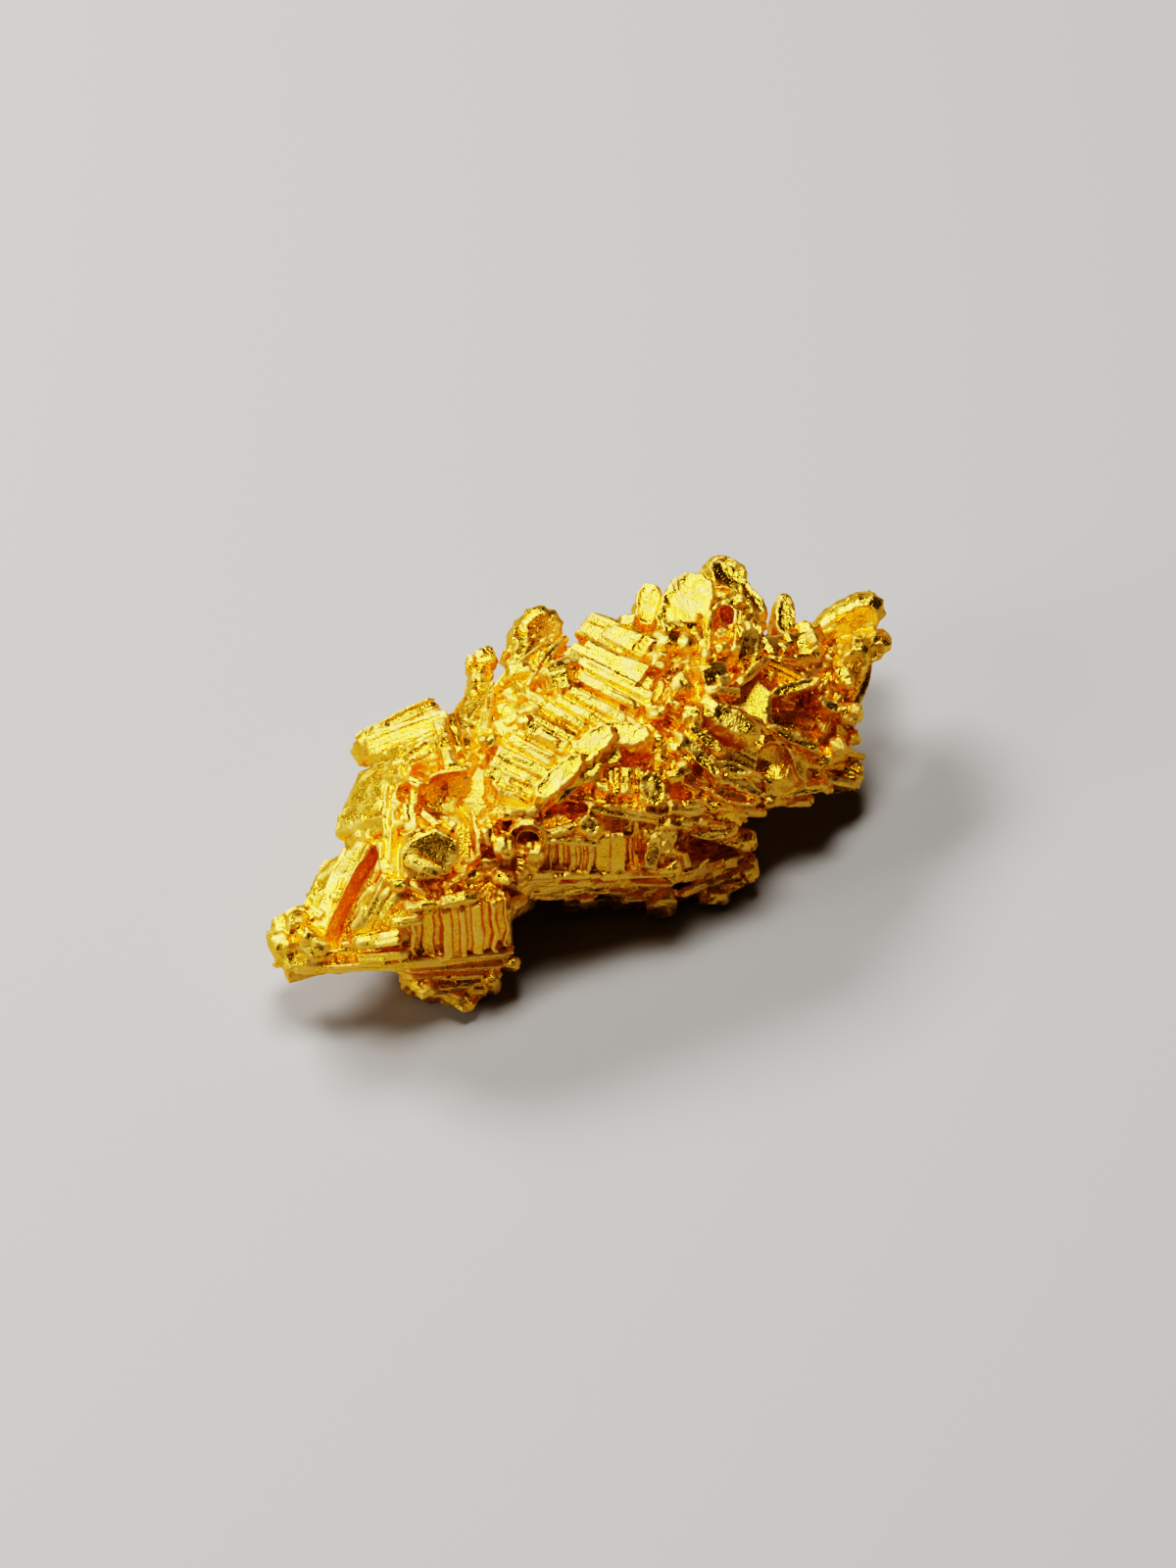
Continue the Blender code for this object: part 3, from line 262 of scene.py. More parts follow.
def solid(name, bm, collection):
    """Makes a helper object in millimetres from a closed bmesh."""
    bmesh.ops.recalc_face_normals(bm, faces=bm.faces)
    mesh = bpy.data.meshes.new(name)
    bm.to_mesh(mesh)
    bm.free()
    obj = bpy.data.objects.new(name, mesh)
    collection.objects.link(obj)
    return obj


def striate(outline, depth):
    """The outline with fine uneven ridges on every face but the hidden base."""
    ridged = []
    for (x0, y0), (x1, y1) in zip(outline, outline[1:] + outline[:1]):
        ridged.append((x0, y0))
        if max(y0, y1) < -0.9 * depth:
            continue
        length = math.hypot(x1 - x0, y1 - y0)
        count = min(12, int(length / STRIA_PITCH))
        for i in range(1, count):
            share = (i + rng.uniform(-0.3, 0.3)) / count
            groove = STRIA_RELIEF * rng.random() * (1.0 if i % 2 else 0.2)
            x = x0 + (x1 - x0) * share + (y1 - y0) / length * groove
            y = y0 + (y1 - y0) * share - (x1 - x0) / length * groove
            ridged.append((x, y))
    return ridged


def loft(outline, start, end, out, rings, ragged=0.0):
    """Skins an outline from start to end, its second axis along out. Rings are (share of the way, size)."""
    axis = (end - start).normalized()
    out = (out - axis * out.dot(axis)).normalized()
    across = axis.cross(out)
    middle_x = sum(x for x, _ in outline) / len(outline)
    middle_y = sum(y for _, y in outline) / len(outline)
    bm = bmesh.new()
    loops = []
    for share, size in rings:
        centre = start.lerp(end, share) + across * rng.uniform(-BEND, BEND)
        centre += out * rng.uniform(-BEND, BEND)
        corners = [(middle_x + (x - middle_x) * size, middle_y + (y - middle_y) * size) for x, y in outline]
        loops.append([bm.verts.new(centre + across * x + out * y) for x, y in corners])
    for vert in loops[0]:
        vert.co += axis * rng.uniform(0, ragged)
    for vert in loops[-1]:
        vert.co -= axis * rng.uniform(0, ragged)
    for low, high in zip(loops, loops[1:]):
        for k in range(len(outline)):
            m = (k + 1) % len(outline)
            bm.faces.new((low[k], low[m], high[m], high[k]))
    bm.faces.new(loops[0])
    bm.faces.new(loops[-1])
    return bm


def roughen(bm, size):
    for vert in bm.verts:
        vert.co += Vector([rng.uniform(-1, 1) * JITTER * size for _ in range(3)])


def layers(start, end, out, width, count):
    """Thin layers that end at different places on a crystal's outer face."""
    axis = (end - start).normalized()
    out = (out - axis * out.dot(axis)).normalized()
    across = axis.cross(out)
    for _ in range(count):
        share = rng.uniform(0.0, 0.5)
        far = rng.uniform(share + 0.3, 1.0)
        wide = width * rng.uniform(0.2, 0.5)
        aside = across * rng.uniform(-0.5, 0.5) * (width - wide)
        raised = out * LAYER * rng.uniform(0.5, 1.3)
        a, b = start.lerp(end, share) + aside + raised, start.lerp(end, far) + aside + raised
        outline = striate(block(wide, LAYER_DEPTH), LAYER_DEPTH)
        bm = loft(outline, a, b, out, ((0, 0.8), (0.08, 1), (0.92, 1), (1, 0.8)), RAGGED)
        solid("layer", bm, grown)


def crystal(
    start, end, width, depth=DEPTH, lift=0.0, lift_end=None, section=block, face=None,
    tips=(0.8, 0.8), tip=0.2, into=grown,
):
    """A straight crystal between two places. Its outer face is lifted, and it goes down to its depth."""
    lift_end = lift if lift_end is None else lift_end
    a, b = spot(*start, lift), spot(*end, lift_end)
    out = face or outward((start[0] + end[0]) / 2, (start[1] + end[1]) / 2)
    length = (b - a).length
    share = min(0.4, tip / length)
    outline = striate(section(width, depth), depth)
    inner = [(share + (1 - 2 * share) * k / 3, rng.uniform(0.93, 1.04)) for k in (1, 2)]
    rings = ((0, tips[0]), (share, 1), *inner, (1 - share, rng.uniform(0.9, 1.0)), (1, tips[1]))
    bm = loft(outline, a, b, out, rings, min(RAGGED, 0.3 * width))
    roughen(bm, 0.5)
    if into is grown and section in (block, roof, half_round):
        layers(a, b, out, width, int(1 + length * width))
    return solid("crystal", bm, into)


def slab(start, end, width, lift=0.0, depth=DEPTH):
    """A crystal with a flat face."""
    crystal(start, end, width, depth, lift)


def finger(start, end, width, lift, depth=DEPTH):
    """A crystal with a rounded face."""
    crystal(start, end, width, depth, lift, section=half_round)


def ridge(start, end, width, lift, depth=DEPTH):
    """A crystal with a ridge along its face."""
    crystal(start, end, width, depth, lift, section=roof)


def blade(centre, length, width, thick, slant, lift=0.0, face=None, points=10, edge=0.55, into=grown):
    """A flat leaf-shaped crystal with a rim. Slant is its long axis above the horizontal, in degrees."""
    out = face or outward(*centre)
    a = math.radians(slant)
    along = RIGHT * math.cos(a) + UP * math.sin(a)
    top = spot(*centre, lift)
    outline = leaf(length, width, points)
    if into is hollows:
        bm = loft(outline, top - out * thick, top, along, ((0, 0.9), (0.6, 1), (1, edge)))
        roughen(bm, thick * 0.6)
        return solid("blade", bm, into)
    side = ((0, 0.9), (0.5, 1.02), (0.6, 0.97), (0.72, 1))
    rim = ((0.85, (1 + edge) / 2 + 0.06), (1, edge + 0.05), (0.97, edge * 0.72))
    bm = loft(striate(outline, ALL_ROUND), top - out * thick, top, along, side + rim)
    roughen(bm, 0.9)
    return solid("blade", bm, into)


def blunt(place, axes, turn):
    """A blunt block. The axes are its three edges."""
    bm = bmesh.new()
    bmesh.ops.create_cube(bm, size=1)
    bmesh.ops.bevel(bm, geom=bm.edges[:], offset=0.22, segments=1, affect="EDGES")
    roughen(bm, 2.2)
    bmesh.ops.transform(bm, matrix=Matrix.Translation(place) @ turn @ axes, verts=bm.verts)
    solid("blunt", bm, grown)


def knob(centre, size, lift=0.0, turn=None):
    """A blunt crystal with smaller ones on it, standing out by about a third of its size."""
    if turn is None:
        turn = rng.uniform(-0.5, 0.5)
    spin = Matrix.Rotation(turn, 4, NEAR) @ Matrix.Rotation(rng.uniform(-0.5, 0.5), 4, RIGHT)
    middle = spot(*centre, lift - 0.25 * size[2])
    for i in range(6):
        scale = 1.0 if i == 0 else rng.uniform(0.4, 0.6)
        axes = Matrix((RIGHT * size[0] * scale, UP * size[1] * scale, NEAR * size[2] * scale))
        aside = Vector()
        if i:
            aside = RIGHT * size[0] * rng.uniform(-0.32, 0.32) + UP * size[1] * rng.uniform(-0.32, 0.32)
            aside += NEAR * size[2] * rng.uniform(0.1, 0.32)
        blunt(middle + aside, axes.transposed().to_4x4(), spin)


def lobe(centre, size, lift=0.0, slant=0.0, subdivisions=1, into=grown):
    """A rounded lump, an ellipsoid of these three sizes."""
    bm = bmesh.new()
    bmesh.ops.create_icosphere(bm, subdivisions=subdivisions + 1, radius=0.5)
    roughen(bm, 0.5)
    spin = Matrix.Rotation(math.radians(slant), 4, NEAR)
    axes = Matrix((RIGHT * size[0], UP * size[1], NEAR * size[2])).transposed().to_4x4()
    middle = spot(*centre, lift - 0.35 * size[2])
    bmesh.ops.transform(bm, matrix=Matrix.Translation(middle) @ spin @ axes, verts=bm.verts)
    return solid("lobe", bm, into)


def hook(centre, radius, thick, lift, tilt):
    """A hooped crystal edge: a ring standing on its side."""
    outline = [
        (thick / 2 * math.cos(k * math.pi / 2), thick / 2 * math.sin(k * math.pi / 2)) for k in range(4)
    ]
    middle = spot(*centre, lift)
    facing = (NEAR + UP * tilt).normalized()
    upward = facing.cross(RIGHT)
    bm = bmesh.new()
    rings = []
    for i in range(HOOK_SIDES):
        a = i * (2 * math.pi / HOOK_SIDES)
        spoke = RIGHT * math.cos(a) + upward * math.sin(a)
        points = [middle + spoke * (radius + x) + facing * y * HOOK_DEPTH for x, y in outline]
        rings.append([bm.verts.new(point) for point in points])
    for ring, following in zip(rings, rings[1:] + rings[:1]):
        for k in range(4):
            m = (k + 1) % 4
            bm.faces.new((ring[k], ring[m], following[m], following[k]))
    return solid("hook", bm, late)


# --- the body -------------------------------------------------------------------


def core():
    """Overlapping lobes along the axis, hidden by the crystals except at the bottom of the hollows."""
    thin_beyond, least, end = 6.2, 0.9, 9.3
    for u in (-9.4, -7.6, -5.6, -4.0, -2.0, 0.2, 2.4, 4.6, 6.5, 8.2):
        v, r = body_at(u)
        r = max(least, r - CORE_INSET - (0.5 if abs(u) > thin_beyond else 0))
        bm = bmesh.new()
        bmesh.ops.create_icosphere(bm, subdivisions=2, radius=1)
        roughen(bm, 1.2)
        size = Matrix.Diagonal((min(2.2, r + 0.4, end - u), r, r / FLATNESS, 1))
        middle = RIGHT * u + UP * v + NEAR * (BODY_FALL * u)
        bmesh.ops.transform(bm, matrix=Matrix.Translation(middle) @ size, verts=bm.verts)
        solid("core", bm, grown)


def masses():
    """Broad blocks under some groups of crystals, so that the clefts between them stay shallow."""
    slab((-9.2, -5.1), (-7.2, -2.2), 2.0, -0.9, 2.4)
    slab((-6.6, -1.0), (-5.4, -3.0), 1.5, -0.6, 2.4)
    slab((-5.0, -6.5), (-3.2, -6.5), 1.5, -0.9, 4.0)
    slab((-5.4, -6.8), (-3.2, -6.8), 0.9, -1.2, 3.4)
    slab((-2.2, 0.8), (0.5, 4.0), 2.0, -0.45, 3.0)
    crystal((-0.4, 4.0), (2.0, 2.85), 2.5, depth=3.0, lift=0.35, tips=(0.95, 0.95), tip=0.1)
    crystal((-2.6, 1.5), (-0.75, 0.55), 3.0, depth=3.0, lift=0.35, tips=(0.95, 0.95), tip=0.1)
    slab((3.2, 1.6), (5.8, 0.2), 1.8, depth=2.4)
    slab((6.2, 0.4), (8.5, 0.5), 1.4, -0.2, 2.4)
    slab((8.3, 4.3), (8.9, 2.0), 1.1, -0.3, 2.0)
    slab((7.4, 0.55), (8.9, 0.55), 0.7, depth=2.4)
    slab((8.7, 2.4), (8.7, 0.6), 0.7, -0.1, 2.0)
    slab((-1.7, -3.45), (3.0, -3.4), 0.9, -1.0, 2.0)
    slab((-3.75, 3.0), (-3.6, 4.4), 0.5, -0.5, 1.0)


# --- the left end ----------------------------------------------------------------


def left_tip():
    """The blunt end: broad flat-faced crystals grown through each other."""
    crystal((-10.25, -4.2), (-9.6, -6.0), 1.3, depth=2.2, tips=(0.7, 0.85), tip=0.5)
    crystal((-10.6, -4.7), (-10.0, -5.8), 0.8, depth=2.0, lift=-0.3, tips=(0.7, 0.8), tip=0.3)
    crystal((-9.95, -4.0), (-8.9, -4.6), 0.8, depth=2.0, lift=-0.1, section=roof, tips=(0.6, 0.9), tip=0.4)
    crystal((-9.8, -6.0), (-8.4, -5.9), 0.6, depth=2.0, lift=0.1, tips=(0.7, 0.9), tip=0.4)
    knob((-9.3, -5.3), (1.1, 0.9, 1.2), 0.0)
    knob((-10.3, -5.3), (0.7, 0.7, 0.9), 0.1)
    knob((-9.75, -4.6), (0.7, 0.6, 0.9), 0.15)


def prow():
    """Two plates that lean together, with a deep slot between them."""
    crystal((-9.55, -4.6), (-8.55, -2.4), 0.6, lift=-0.5, section=stairs(2, 0.15))
    slab((-9.1, -4.9), (-8.0, -2.0), 0.6, -0.15)
    ridge((-8.75, -5.1), (-7.35, -1.9), 0.5, 0.1)
    slab((-8.3, -2.2), (-7.4, -1.6), 0.5)
    ridge((-8.0, -5.5), (-6.75, -3.0), 0.5, 0.45)
    crystal((-7.5, -5.1), (-6.6, -3.6), 0.45, lift=0.25, section=stairs(2, 0.15))
    slab((-7.05, -4.7), (-6.3, -3.6), 0.4, 0.1)
    blade((-7.95, -3.7), 4.2, 0.75, 1.6, 64, lift=0.15, edge=0.9, into=hollows)


def small_prism():
    crystal((-8.6, -1.4), (-6.8, -0.8), 1.0, 1.8, lift=0.8, lift_end=0.0, tips=(0.85, 0.95))
    crystal((-8.4, -1.05), (-6.9, -0.45), 0.35, depth=1.4, lift=0.9, lift_end=0.2)
    crystal((-8.3, -1.6), (-6.9, -1.15), 0.35, depth=1.4, lift=0.9, lift_end=0.15, section=half_round)


def upper_left_prism():
    """The large striated prism that lies along the top of the left end, on a lower shelf."""
    tilt = (UP * 0.45 + NEAR).normalized()
    ridges = comb(3, 0.06)
    crystal((-7.75, 1.45), (-5.0, 2.75), 0.85, 1.4, lift=0.3, section=ridges, face=tilt, tip=0.3)
    ridges = comb(4, 0.08)
    crystal((-7.75, 1.15), (-4.75, 2.3), 0.95, 2.6, lift=0.55, section=ridges, tips=(0.8, 0.85), tip=0.3)
    crystal((-7.4, 0.55), (-5.0, 1.3), 1.1, depth=2.4, lift=0.45, section=comb(3, 0.1), tips=(0.85, 0.9))
    slab((-5.05, 2.3), (-4.6, 0.6), 0.5, 0.5, 2.0)
    slab((-4.75, 2.5), (-4.4, 1.2), 0.5, depth=2.0)
    blade((-5.6, 0.7), 1.1, 0.5, 0.9, 62, lift=0.5, edge=0.9, into=hollows)


def arch():
    finger((-7.3, 0.05), (-6.1, 0.2), 0.45, 0.3)
    finger((-6.2, 0.25), (-5.3, -0.1), 0.4, 0.35)
    ridge((-6.9, -0.2), (-6.85, -1.7), 0.4, 0.15)
    ridge((-6.55, -0.7), (-6.6, -2.9), 0.35, 0.1)
    slab((-6.0, -0.5), (-5.9, -1.5), 0.5, 0.3)
    slab((-7.0, -1.8), (-6.8, -3.0), 0.3, 0.1)
    slab((-5.75, -0.2), (-4.35, -1.5), 0.26, 0.4)
    slab((-5.6, -0.9), (-4.5, -1.8), 0.28, 0.35)
    lobe((-6.2, -0.25), (0.5, 0.75, 1.6), 0.5, slant=-20, into=hollows)


def dark_hexagon():
    """A six-sided prism that points at the viewer and shows its end."""
    left = [(-1.0, 0.5), (-0.2, 0.9), (0.65, 0.5), (1.0, 0.05)]
    right = [(1.0, -0.65), (0.5, -0.95), (-0.6, -0.7), (-1.0, -0.1)]
    start = spot(-5.2, -1.9, -2.4)
    end = spot(-5.3, -2.35, 0.55)
    bm = loft(left + right, start, end, UP, ((0, 1), (0.95, 1.0), (1, 0.93)))
    solid("dark_hexagon", bm, grown)
    crystal((-6.1, -2.5), (-4.9, -3.05), 0.4, depth=0.8, lift=0.65, face=NEAR)
    finger((-6.1, -1.75), (-5.4, -1.45), 0.22, 0.75, 1.2)
    finger((-5.4, -1.4), (-4.4, -2.1), 0.24, 0.75, 1.2)


def left_front():
    """Knobs and fingers between the prow and the fluted wall."""
    finger((-7.9, -5.45), (-6.3, -5.15), 0.5, 0.6)
    finger((-6.2, -4.1), (-4.9, -4.0), 0.4, 0.35)
    finger((-5.0, -4.0), (-3.5, -3.7), 0.5, 0.45)
    finger((-6.7, -4.7), (-5.5, -4.55), 0.4, 0.4)
    knob((-6.3, -3.35), (0.7, 0.5, 0.9), 0.3)
    ridge((-6.0, -3.3), (-5.2, -3.7), 0.3, 0.35)
    ridge((-4.9, -3.4), (-3.9, -2.9), 0.3, 0.2)
    ridge((-4.3, -2.7), (-3.6, -2.4), 0.22, 0.3)
    knob((-2.9, -3.1), (0.6, 0.5, 0.8), 0.1)
    knob((-2.25, -3.05), (0.5, 0.35, 0.8), 0.1)
    finger((-2.7, -4.2), (-1.9, -3.7), 0.45, -0.1)


# Thin layers of the left foot, top to bottom: start, end, lift.
FOOT_LAYERS = (
    ((-6.05, -6.25), (-2.4, -6.05), 0.05),
    ((-6.1, -6.55), (-2.8, -6.4), -0.1),
    ((-5.9, -6.85), (-3.0, -6.7), -0.3),
    ((-5.4, -7.1), (-3.3, -7.0), -0.5),
    ((-4.9, -7.35), (-3.8, -7.3), -0.7),
)


def left_wall():
    """The fluted wall over the left foot, its ledge, and the layered foot itself."""
    crystal((-4.55, -4.2), (-4.45, -5.95), 3.9, depth=2.6, lift=0.1, section=comb(8, 0.5), tips=(1, 1))
    crystal((-2.8, -4.25), (-2.75, -5.75), 0.85, depth=2.4, lift=0.1, tips=(0.85, 1))
    crystal((-10.0, -6.3), (-6.0, -6.15), 0.4, depth=2.4, lift=0.3, section=stairs(2, 0.12))
    slab((-6.2, -6.1), (-2.35, -5.75), 0.4, 0.45, 2.6)
    slab((-7.9, -5.9), (-6.1, -5.8), 0.4, 0.3, 1.8)
    crystal((-5.6, -6.6), (-3.2, -6.55), 1.2, depth=2.6, lift=-0.5, face=NEAR)
    facing = (NEAR - UP * 0.2).normalized()
    for start, end, lift in FOOT_LAYERS:
        crystal(start, end, 0.34, depth=1.8, lift=lift, face=facing, section=half_round)
    knob((-2.7, -6.05), (0.8, 0.45, 1.4), 0.0)
    knob((-3.3, -6.7), (0.7, 0.5, 1.4), -0.3)
    knob((-5.5, -6.75), (0.8, 0.5, 1.4), -0.4)
    knob((-4.4, -7.1), (1.4, 0.5, 1.4), -0.6)


# --- the hollow in the middle ------------------------------------------------------


def bowl():
    """The smooth bowl and the channel below it, with a thin blade standing in it."""
    lobe((-4.35, -0.45), (2.8, 1.9, 2.3), 0.85, subdivisions=2, into=hollows)
    blade((-4.15, -1.9), 2.3, 0.75, 1.5, 88, lift=0.2, edge=0.9, into=hollows)
    crystal((-3.85, -0.8), (-3.6, -2.4), 0.17, depth=1.4, lift=0.15, into=late)
    finger((-5.3, 0.25), (-3.9, 0.65), 0.3, 0.35)
    finger((-3.3, -0.1), (-1.6, -0.75), 0.5, 0.3)
    slab((-3.5, -0.7), (-2.6, -1.1), 0.4, 0.25)
    knob((-3.3, -1.7), (0.6, 0.8, 1.2), 0.0)


def hooks():
    """Two blunt crystals with a hooped edge between them."""
    finger((-3.0, -1.05), (-1.5, -0.9), 0.4, 0.55)
    knob((-2.8, -2.1), (0.75, 0.9, 1.2), 0.4)
    knob((-1.8, -2.35), (0.7, 0.85, 1.2), 0.35)
    lobe((-2.15, -1.55), (1.1, 0.85, 1.6), 0.45, into=hollows)
    hook((-2.05, -1.75), 0.62, 0.2, 0.35, -0.7)
    hook((-2.0, -1.8), 0.4, 0.16, 0.25, -0.7)
    finger((-2.3, -2.75), (-1.5, -2.9), 0.3, 0.3)


# --- the upper middle --------------------------------------------------------------


def column():
    finger((-4.15, 1.2), (-3.9, 3.05), 0.85, -0.3, 1.8)
    finger((-4.3, 3.25), (-3.2, 3.35), 0.5, -0.3, 1.2)
    knob((-3.6, 3.75), (0.8, 0.5, 0.9), -0.2)
    knob((-3.95, 4.0), (0.5, 0.7, 0.8), -0.3)
    knob((-3.5, 4.25), (0.75, 0.75, 0.8), -0.2, turn=0.4)


def arc_hopper():
    """A round-topped rim about a smooth recess, with a bright plate under it."""
    slab((-3.5, 1.8), (-3.3, 3.2), 0.28, 0.3)
    finger((-3.35, 3.1), (-2.8, 3.6), 0.3, 0.3)
    finger((-2.9, 3.6), (-1.45, 2.75), 0.42, 0.4)
    slab((-3.2, 1.75), (-1.5, 2.65), 0.75, 0.35)
    lobe((-2.75, 2.65), (1.2, 1.0, 1.4), 0.3, slant=45, into=hollows)


def leaf_crystal():
    lean = (NEAR + RIGHT * 0.3).normalized()
    blade((-1.62, 5.1), 2.2, 1.6, 1.4, 50, lift=0.0, face=lean, points=12, edge=0.7)
    finger((-2.35, 4.3), (-2.25, 5.5), 0.6, -0.3, 1.4)
    ridge((-2.95, 4.0), (-1.4, 5.1), 0.34, 0.2)
    ridge((-2.55, 3.9), (-1.1, 4.95), 0.34, 0.25)
    ridge((-2.0, 3.5), (-0.7, 5.25), 0.36, 0.45)
    knob((-2.35, 3.7), (0.9, 0.6, 1.1), 0.2)


# Parallel rods of the striated block: start, end, width, lift.
RODS = (
    ((-0.15, 4.8), (2.0, 3.8), 0.46, 0.45),
    ((-0.6, 4.75), (2.3, 3.4), 0.4, 0.6),
    ((-0.35, 4.25), (2.2, 2.95), 0.44, 0.68),
    ((-0.3, 3.65), (1.8, 2.6), 0.42, 0.52),
    ((-0.7, 3.25), (1.3, 2.15), 0.42, 0.6),
    ((-1.1, 2.95), (0.6, 1.95), 0.34, 0.46),
    ((-1.5, 2.7), (-0.05, 1.9), 0.36, 0.55),
    ((-2.0, 2.0), (-0.65, 1.2), 0.62, 0.74),
    ((-2.7, 1.6), (-1.15, 0.75), 0.44, 0.58),
    ((-3.1, 1.2), (-1.35, 0.3), 0.46, 0.64),
    ((-3.3, 0.8), (-1.55, -0.1), 0.38, 0.42),
    ((-3.5, 0.45), (-1.75, -0.4), 0.34, 0.32),
)


def striated_block():
    """The tall middle block: a bright top prism, and rods that step down to the valley in front."""
    top = (UP * 0.35 + NEAR).normalized()
    crystal(
        (-0.4, 5.65), (2.0, 4.65), 1.2, 2.4, lift=0.9, lift_end=0.8, face=top, tips=(0.75, 0.9), tip=0.4
    )
    for start, end, width, lift in RODS:
        crystal(start, end, width, depth=2.0, lift=lift, section=block, tips=(0.85, 0.9), tip=0.1)
    slab((-1.5, 3.75), (-0.15, 4.5), 0.5, 0.85)
    knob((-0.95, 3.4), (1.0, 0.9, 1.4), 0.35)
    knob((-2.15, 2.1), (0.5, 0.5, 1.0), 0.55)
    knob((-3.3, 1.4), (0.7, 0.5, 1.0), 0.45)
    knob((1.35, 5.3), (0.8, 0.6, 2.2), -0.4)


# --- the front middle ----------------------------------------------------------------


def front_crest():
    """The bright crest that runs up from the bowl and bends over to the right, and the faces below it."""
    raised = (NEAR + UP * 0.4).normalized()
    blade((-0.95, 0.3), 2.7, 0.9, 1.8, 48, lift=0.95, face=raised, edge=0.75)
    blade((0.1, 1.35), 2.3, 1.1, 1.8, 46, lift=1.1, face=raised, edge=0.75)
    blade((1.15, 1.75), 2.3, 1.05, 1.8, -6, lift=1.05, face=raised, edge=0.75)
    crystal((-1.2, -0.35), (0.6, 1.15), 0.9, depth=2.0, lift=0.75, section=stairs(3, 0.1))
    blade((0.0, 0.5), 1.9, 1.1, 2.0, 42, lift=0.7)
    blade((0.75, 0.95), 1.2, 0.8, 2.0, 20, lift=0.55)
    slab((0.85, 1.1), (0.95, -0.6), 0.5, 0.3, 2.0)
    finger((-0.95, -0.1), (0.6, 0.35), 0.3, 0.6)
    finger((0.3, 1.3), (2.0, 1.4), 0.3, 0.7)
    slab((1.35, 0.75), (1.3, -0.5), 0.55, 0.6, 2.0)
    blade((2.2, -0.15), 1.5, 1.0, 1.8, 105, lift=0.9, points=8, edge=0.8)
    finger((1.8, 0.6), (1.85, -0.7), 0.3, 0.75)
    knob((0.5, -0.2), (0.6, 0.5, 1.0), 0.3)


def front_ledges():
    finger((-0.1, -0.75), (2.6, -1.2), 0.45, 0.55, 2.0)
    blade((0.1, -1.4), 1.2, 0.9, 1.4, -30, lift=0.75)
    finger((-1.6, -1.75), (-0.1, -1.35), 0.35, 0.55)
    slab((-1.65, -1.9), (0.6, -2.0), 0.28, 0.5, 2.0)
    lobe((-0.6, -0.8), (1.3, 0.5, 1.2), 0.45, into=hollows)
    slab((-2.0, -3.1), (0.6, -3.1), 0.34, 0.35, 2.4)
    slab((0.4, -3.15), (3.1, -3.05), 0.36, 0.35, 2.4)


def middle_wall():
    crystal((-0.75, -1.9), (-0.75, -3.1), 1.9, depth=2.2, lift=0.15, section=comb(6, 0.35), tips=(1, 1))
    crystal((0.75, -1.7), (0.75, -3.1), 1.1, depth=2.2, lift=0.4, section=stairs(2, 0.12), tips=(0.9, 1))
    crystal((1.5, -1.3), (1.6, -3.3), 0.5, depth=2.0, lift=0.2, section=comb(3, 0.3), tips=(1, 1))
    crystal((2.4, -1.4), (2.5, -3.1), 1.4, depth=2.2, lift=0.4, tips=(0.85, 1))
    blade((2.2, -2.3), 1.5, 0.7, 1.4, 84, lift=0.55, edge=0.7)
    blade((2.75, -2.0), 1.1, 0.5, 1.4, 70, lift=0.5, edge=0.7)
    knob((2.75, -2.75), (0.7, 0.5, 0.9), 0.4)
    slab((3.0, -2.1), (3.4, -3.0), 0.6, depth=2.0)


def under_layers():
    """The dark layered plates under the front ledge, and the front foot."""
    crystal((-1.95, -3.5), (0.4, -3.5), 0.34, depth=2.8, lift=-0.1, section=stairs(2, 0.1))
    slab((-1.8, -3.85), (0.1, -3.9), 0.3, -0.5, 2.8)
    slab((0.1, -3.45), (3.0, -3.4), 0.34, depth=2.8)
    slab((0.9, -3.75), (3.1, -3.7), 0.34, -0.5, 2.8)
    knob((2.5, -4.1), (1.0, 0.6, 1.4), -0.6)
    knob((-0.3, -3.95), (1.1, 0.4, 2.2), -0.6)


def tail():
    """The knobbed bar low on the right, parted from the blades over it by a gap."""
    slab((2.9, -3.2), (4.3, -2.95), 0.6, 0.1, 2.2)
    slab((3.8, -3.75), (5.0, -3.4), 0.7, -0.5, 2.2)
    slab((4.1, -3.0), (5.7, -2.45), 0.85, 0.1, 2.0)
    knob((5.35, -1.95), (0.8, 0.6, 1.2), 0.1)
    knob((5.4, -2.8), (0.7, 0.7, 1.2), 0.0)
    knob((4.4, -3.75), (0.9, 0.6, 2.0), -0.8)
    crystal((3.2, -2.15), (4.4, -2.2), 0.5, depth=2.4, lift=0.9, into=hollows)
    crystal((3.5, -2.4), (4.1, -2.5), 0.4, depth=2.4, lift=0.9, into=hollows)


# --- the blades low on the right -------------------------------------------------------


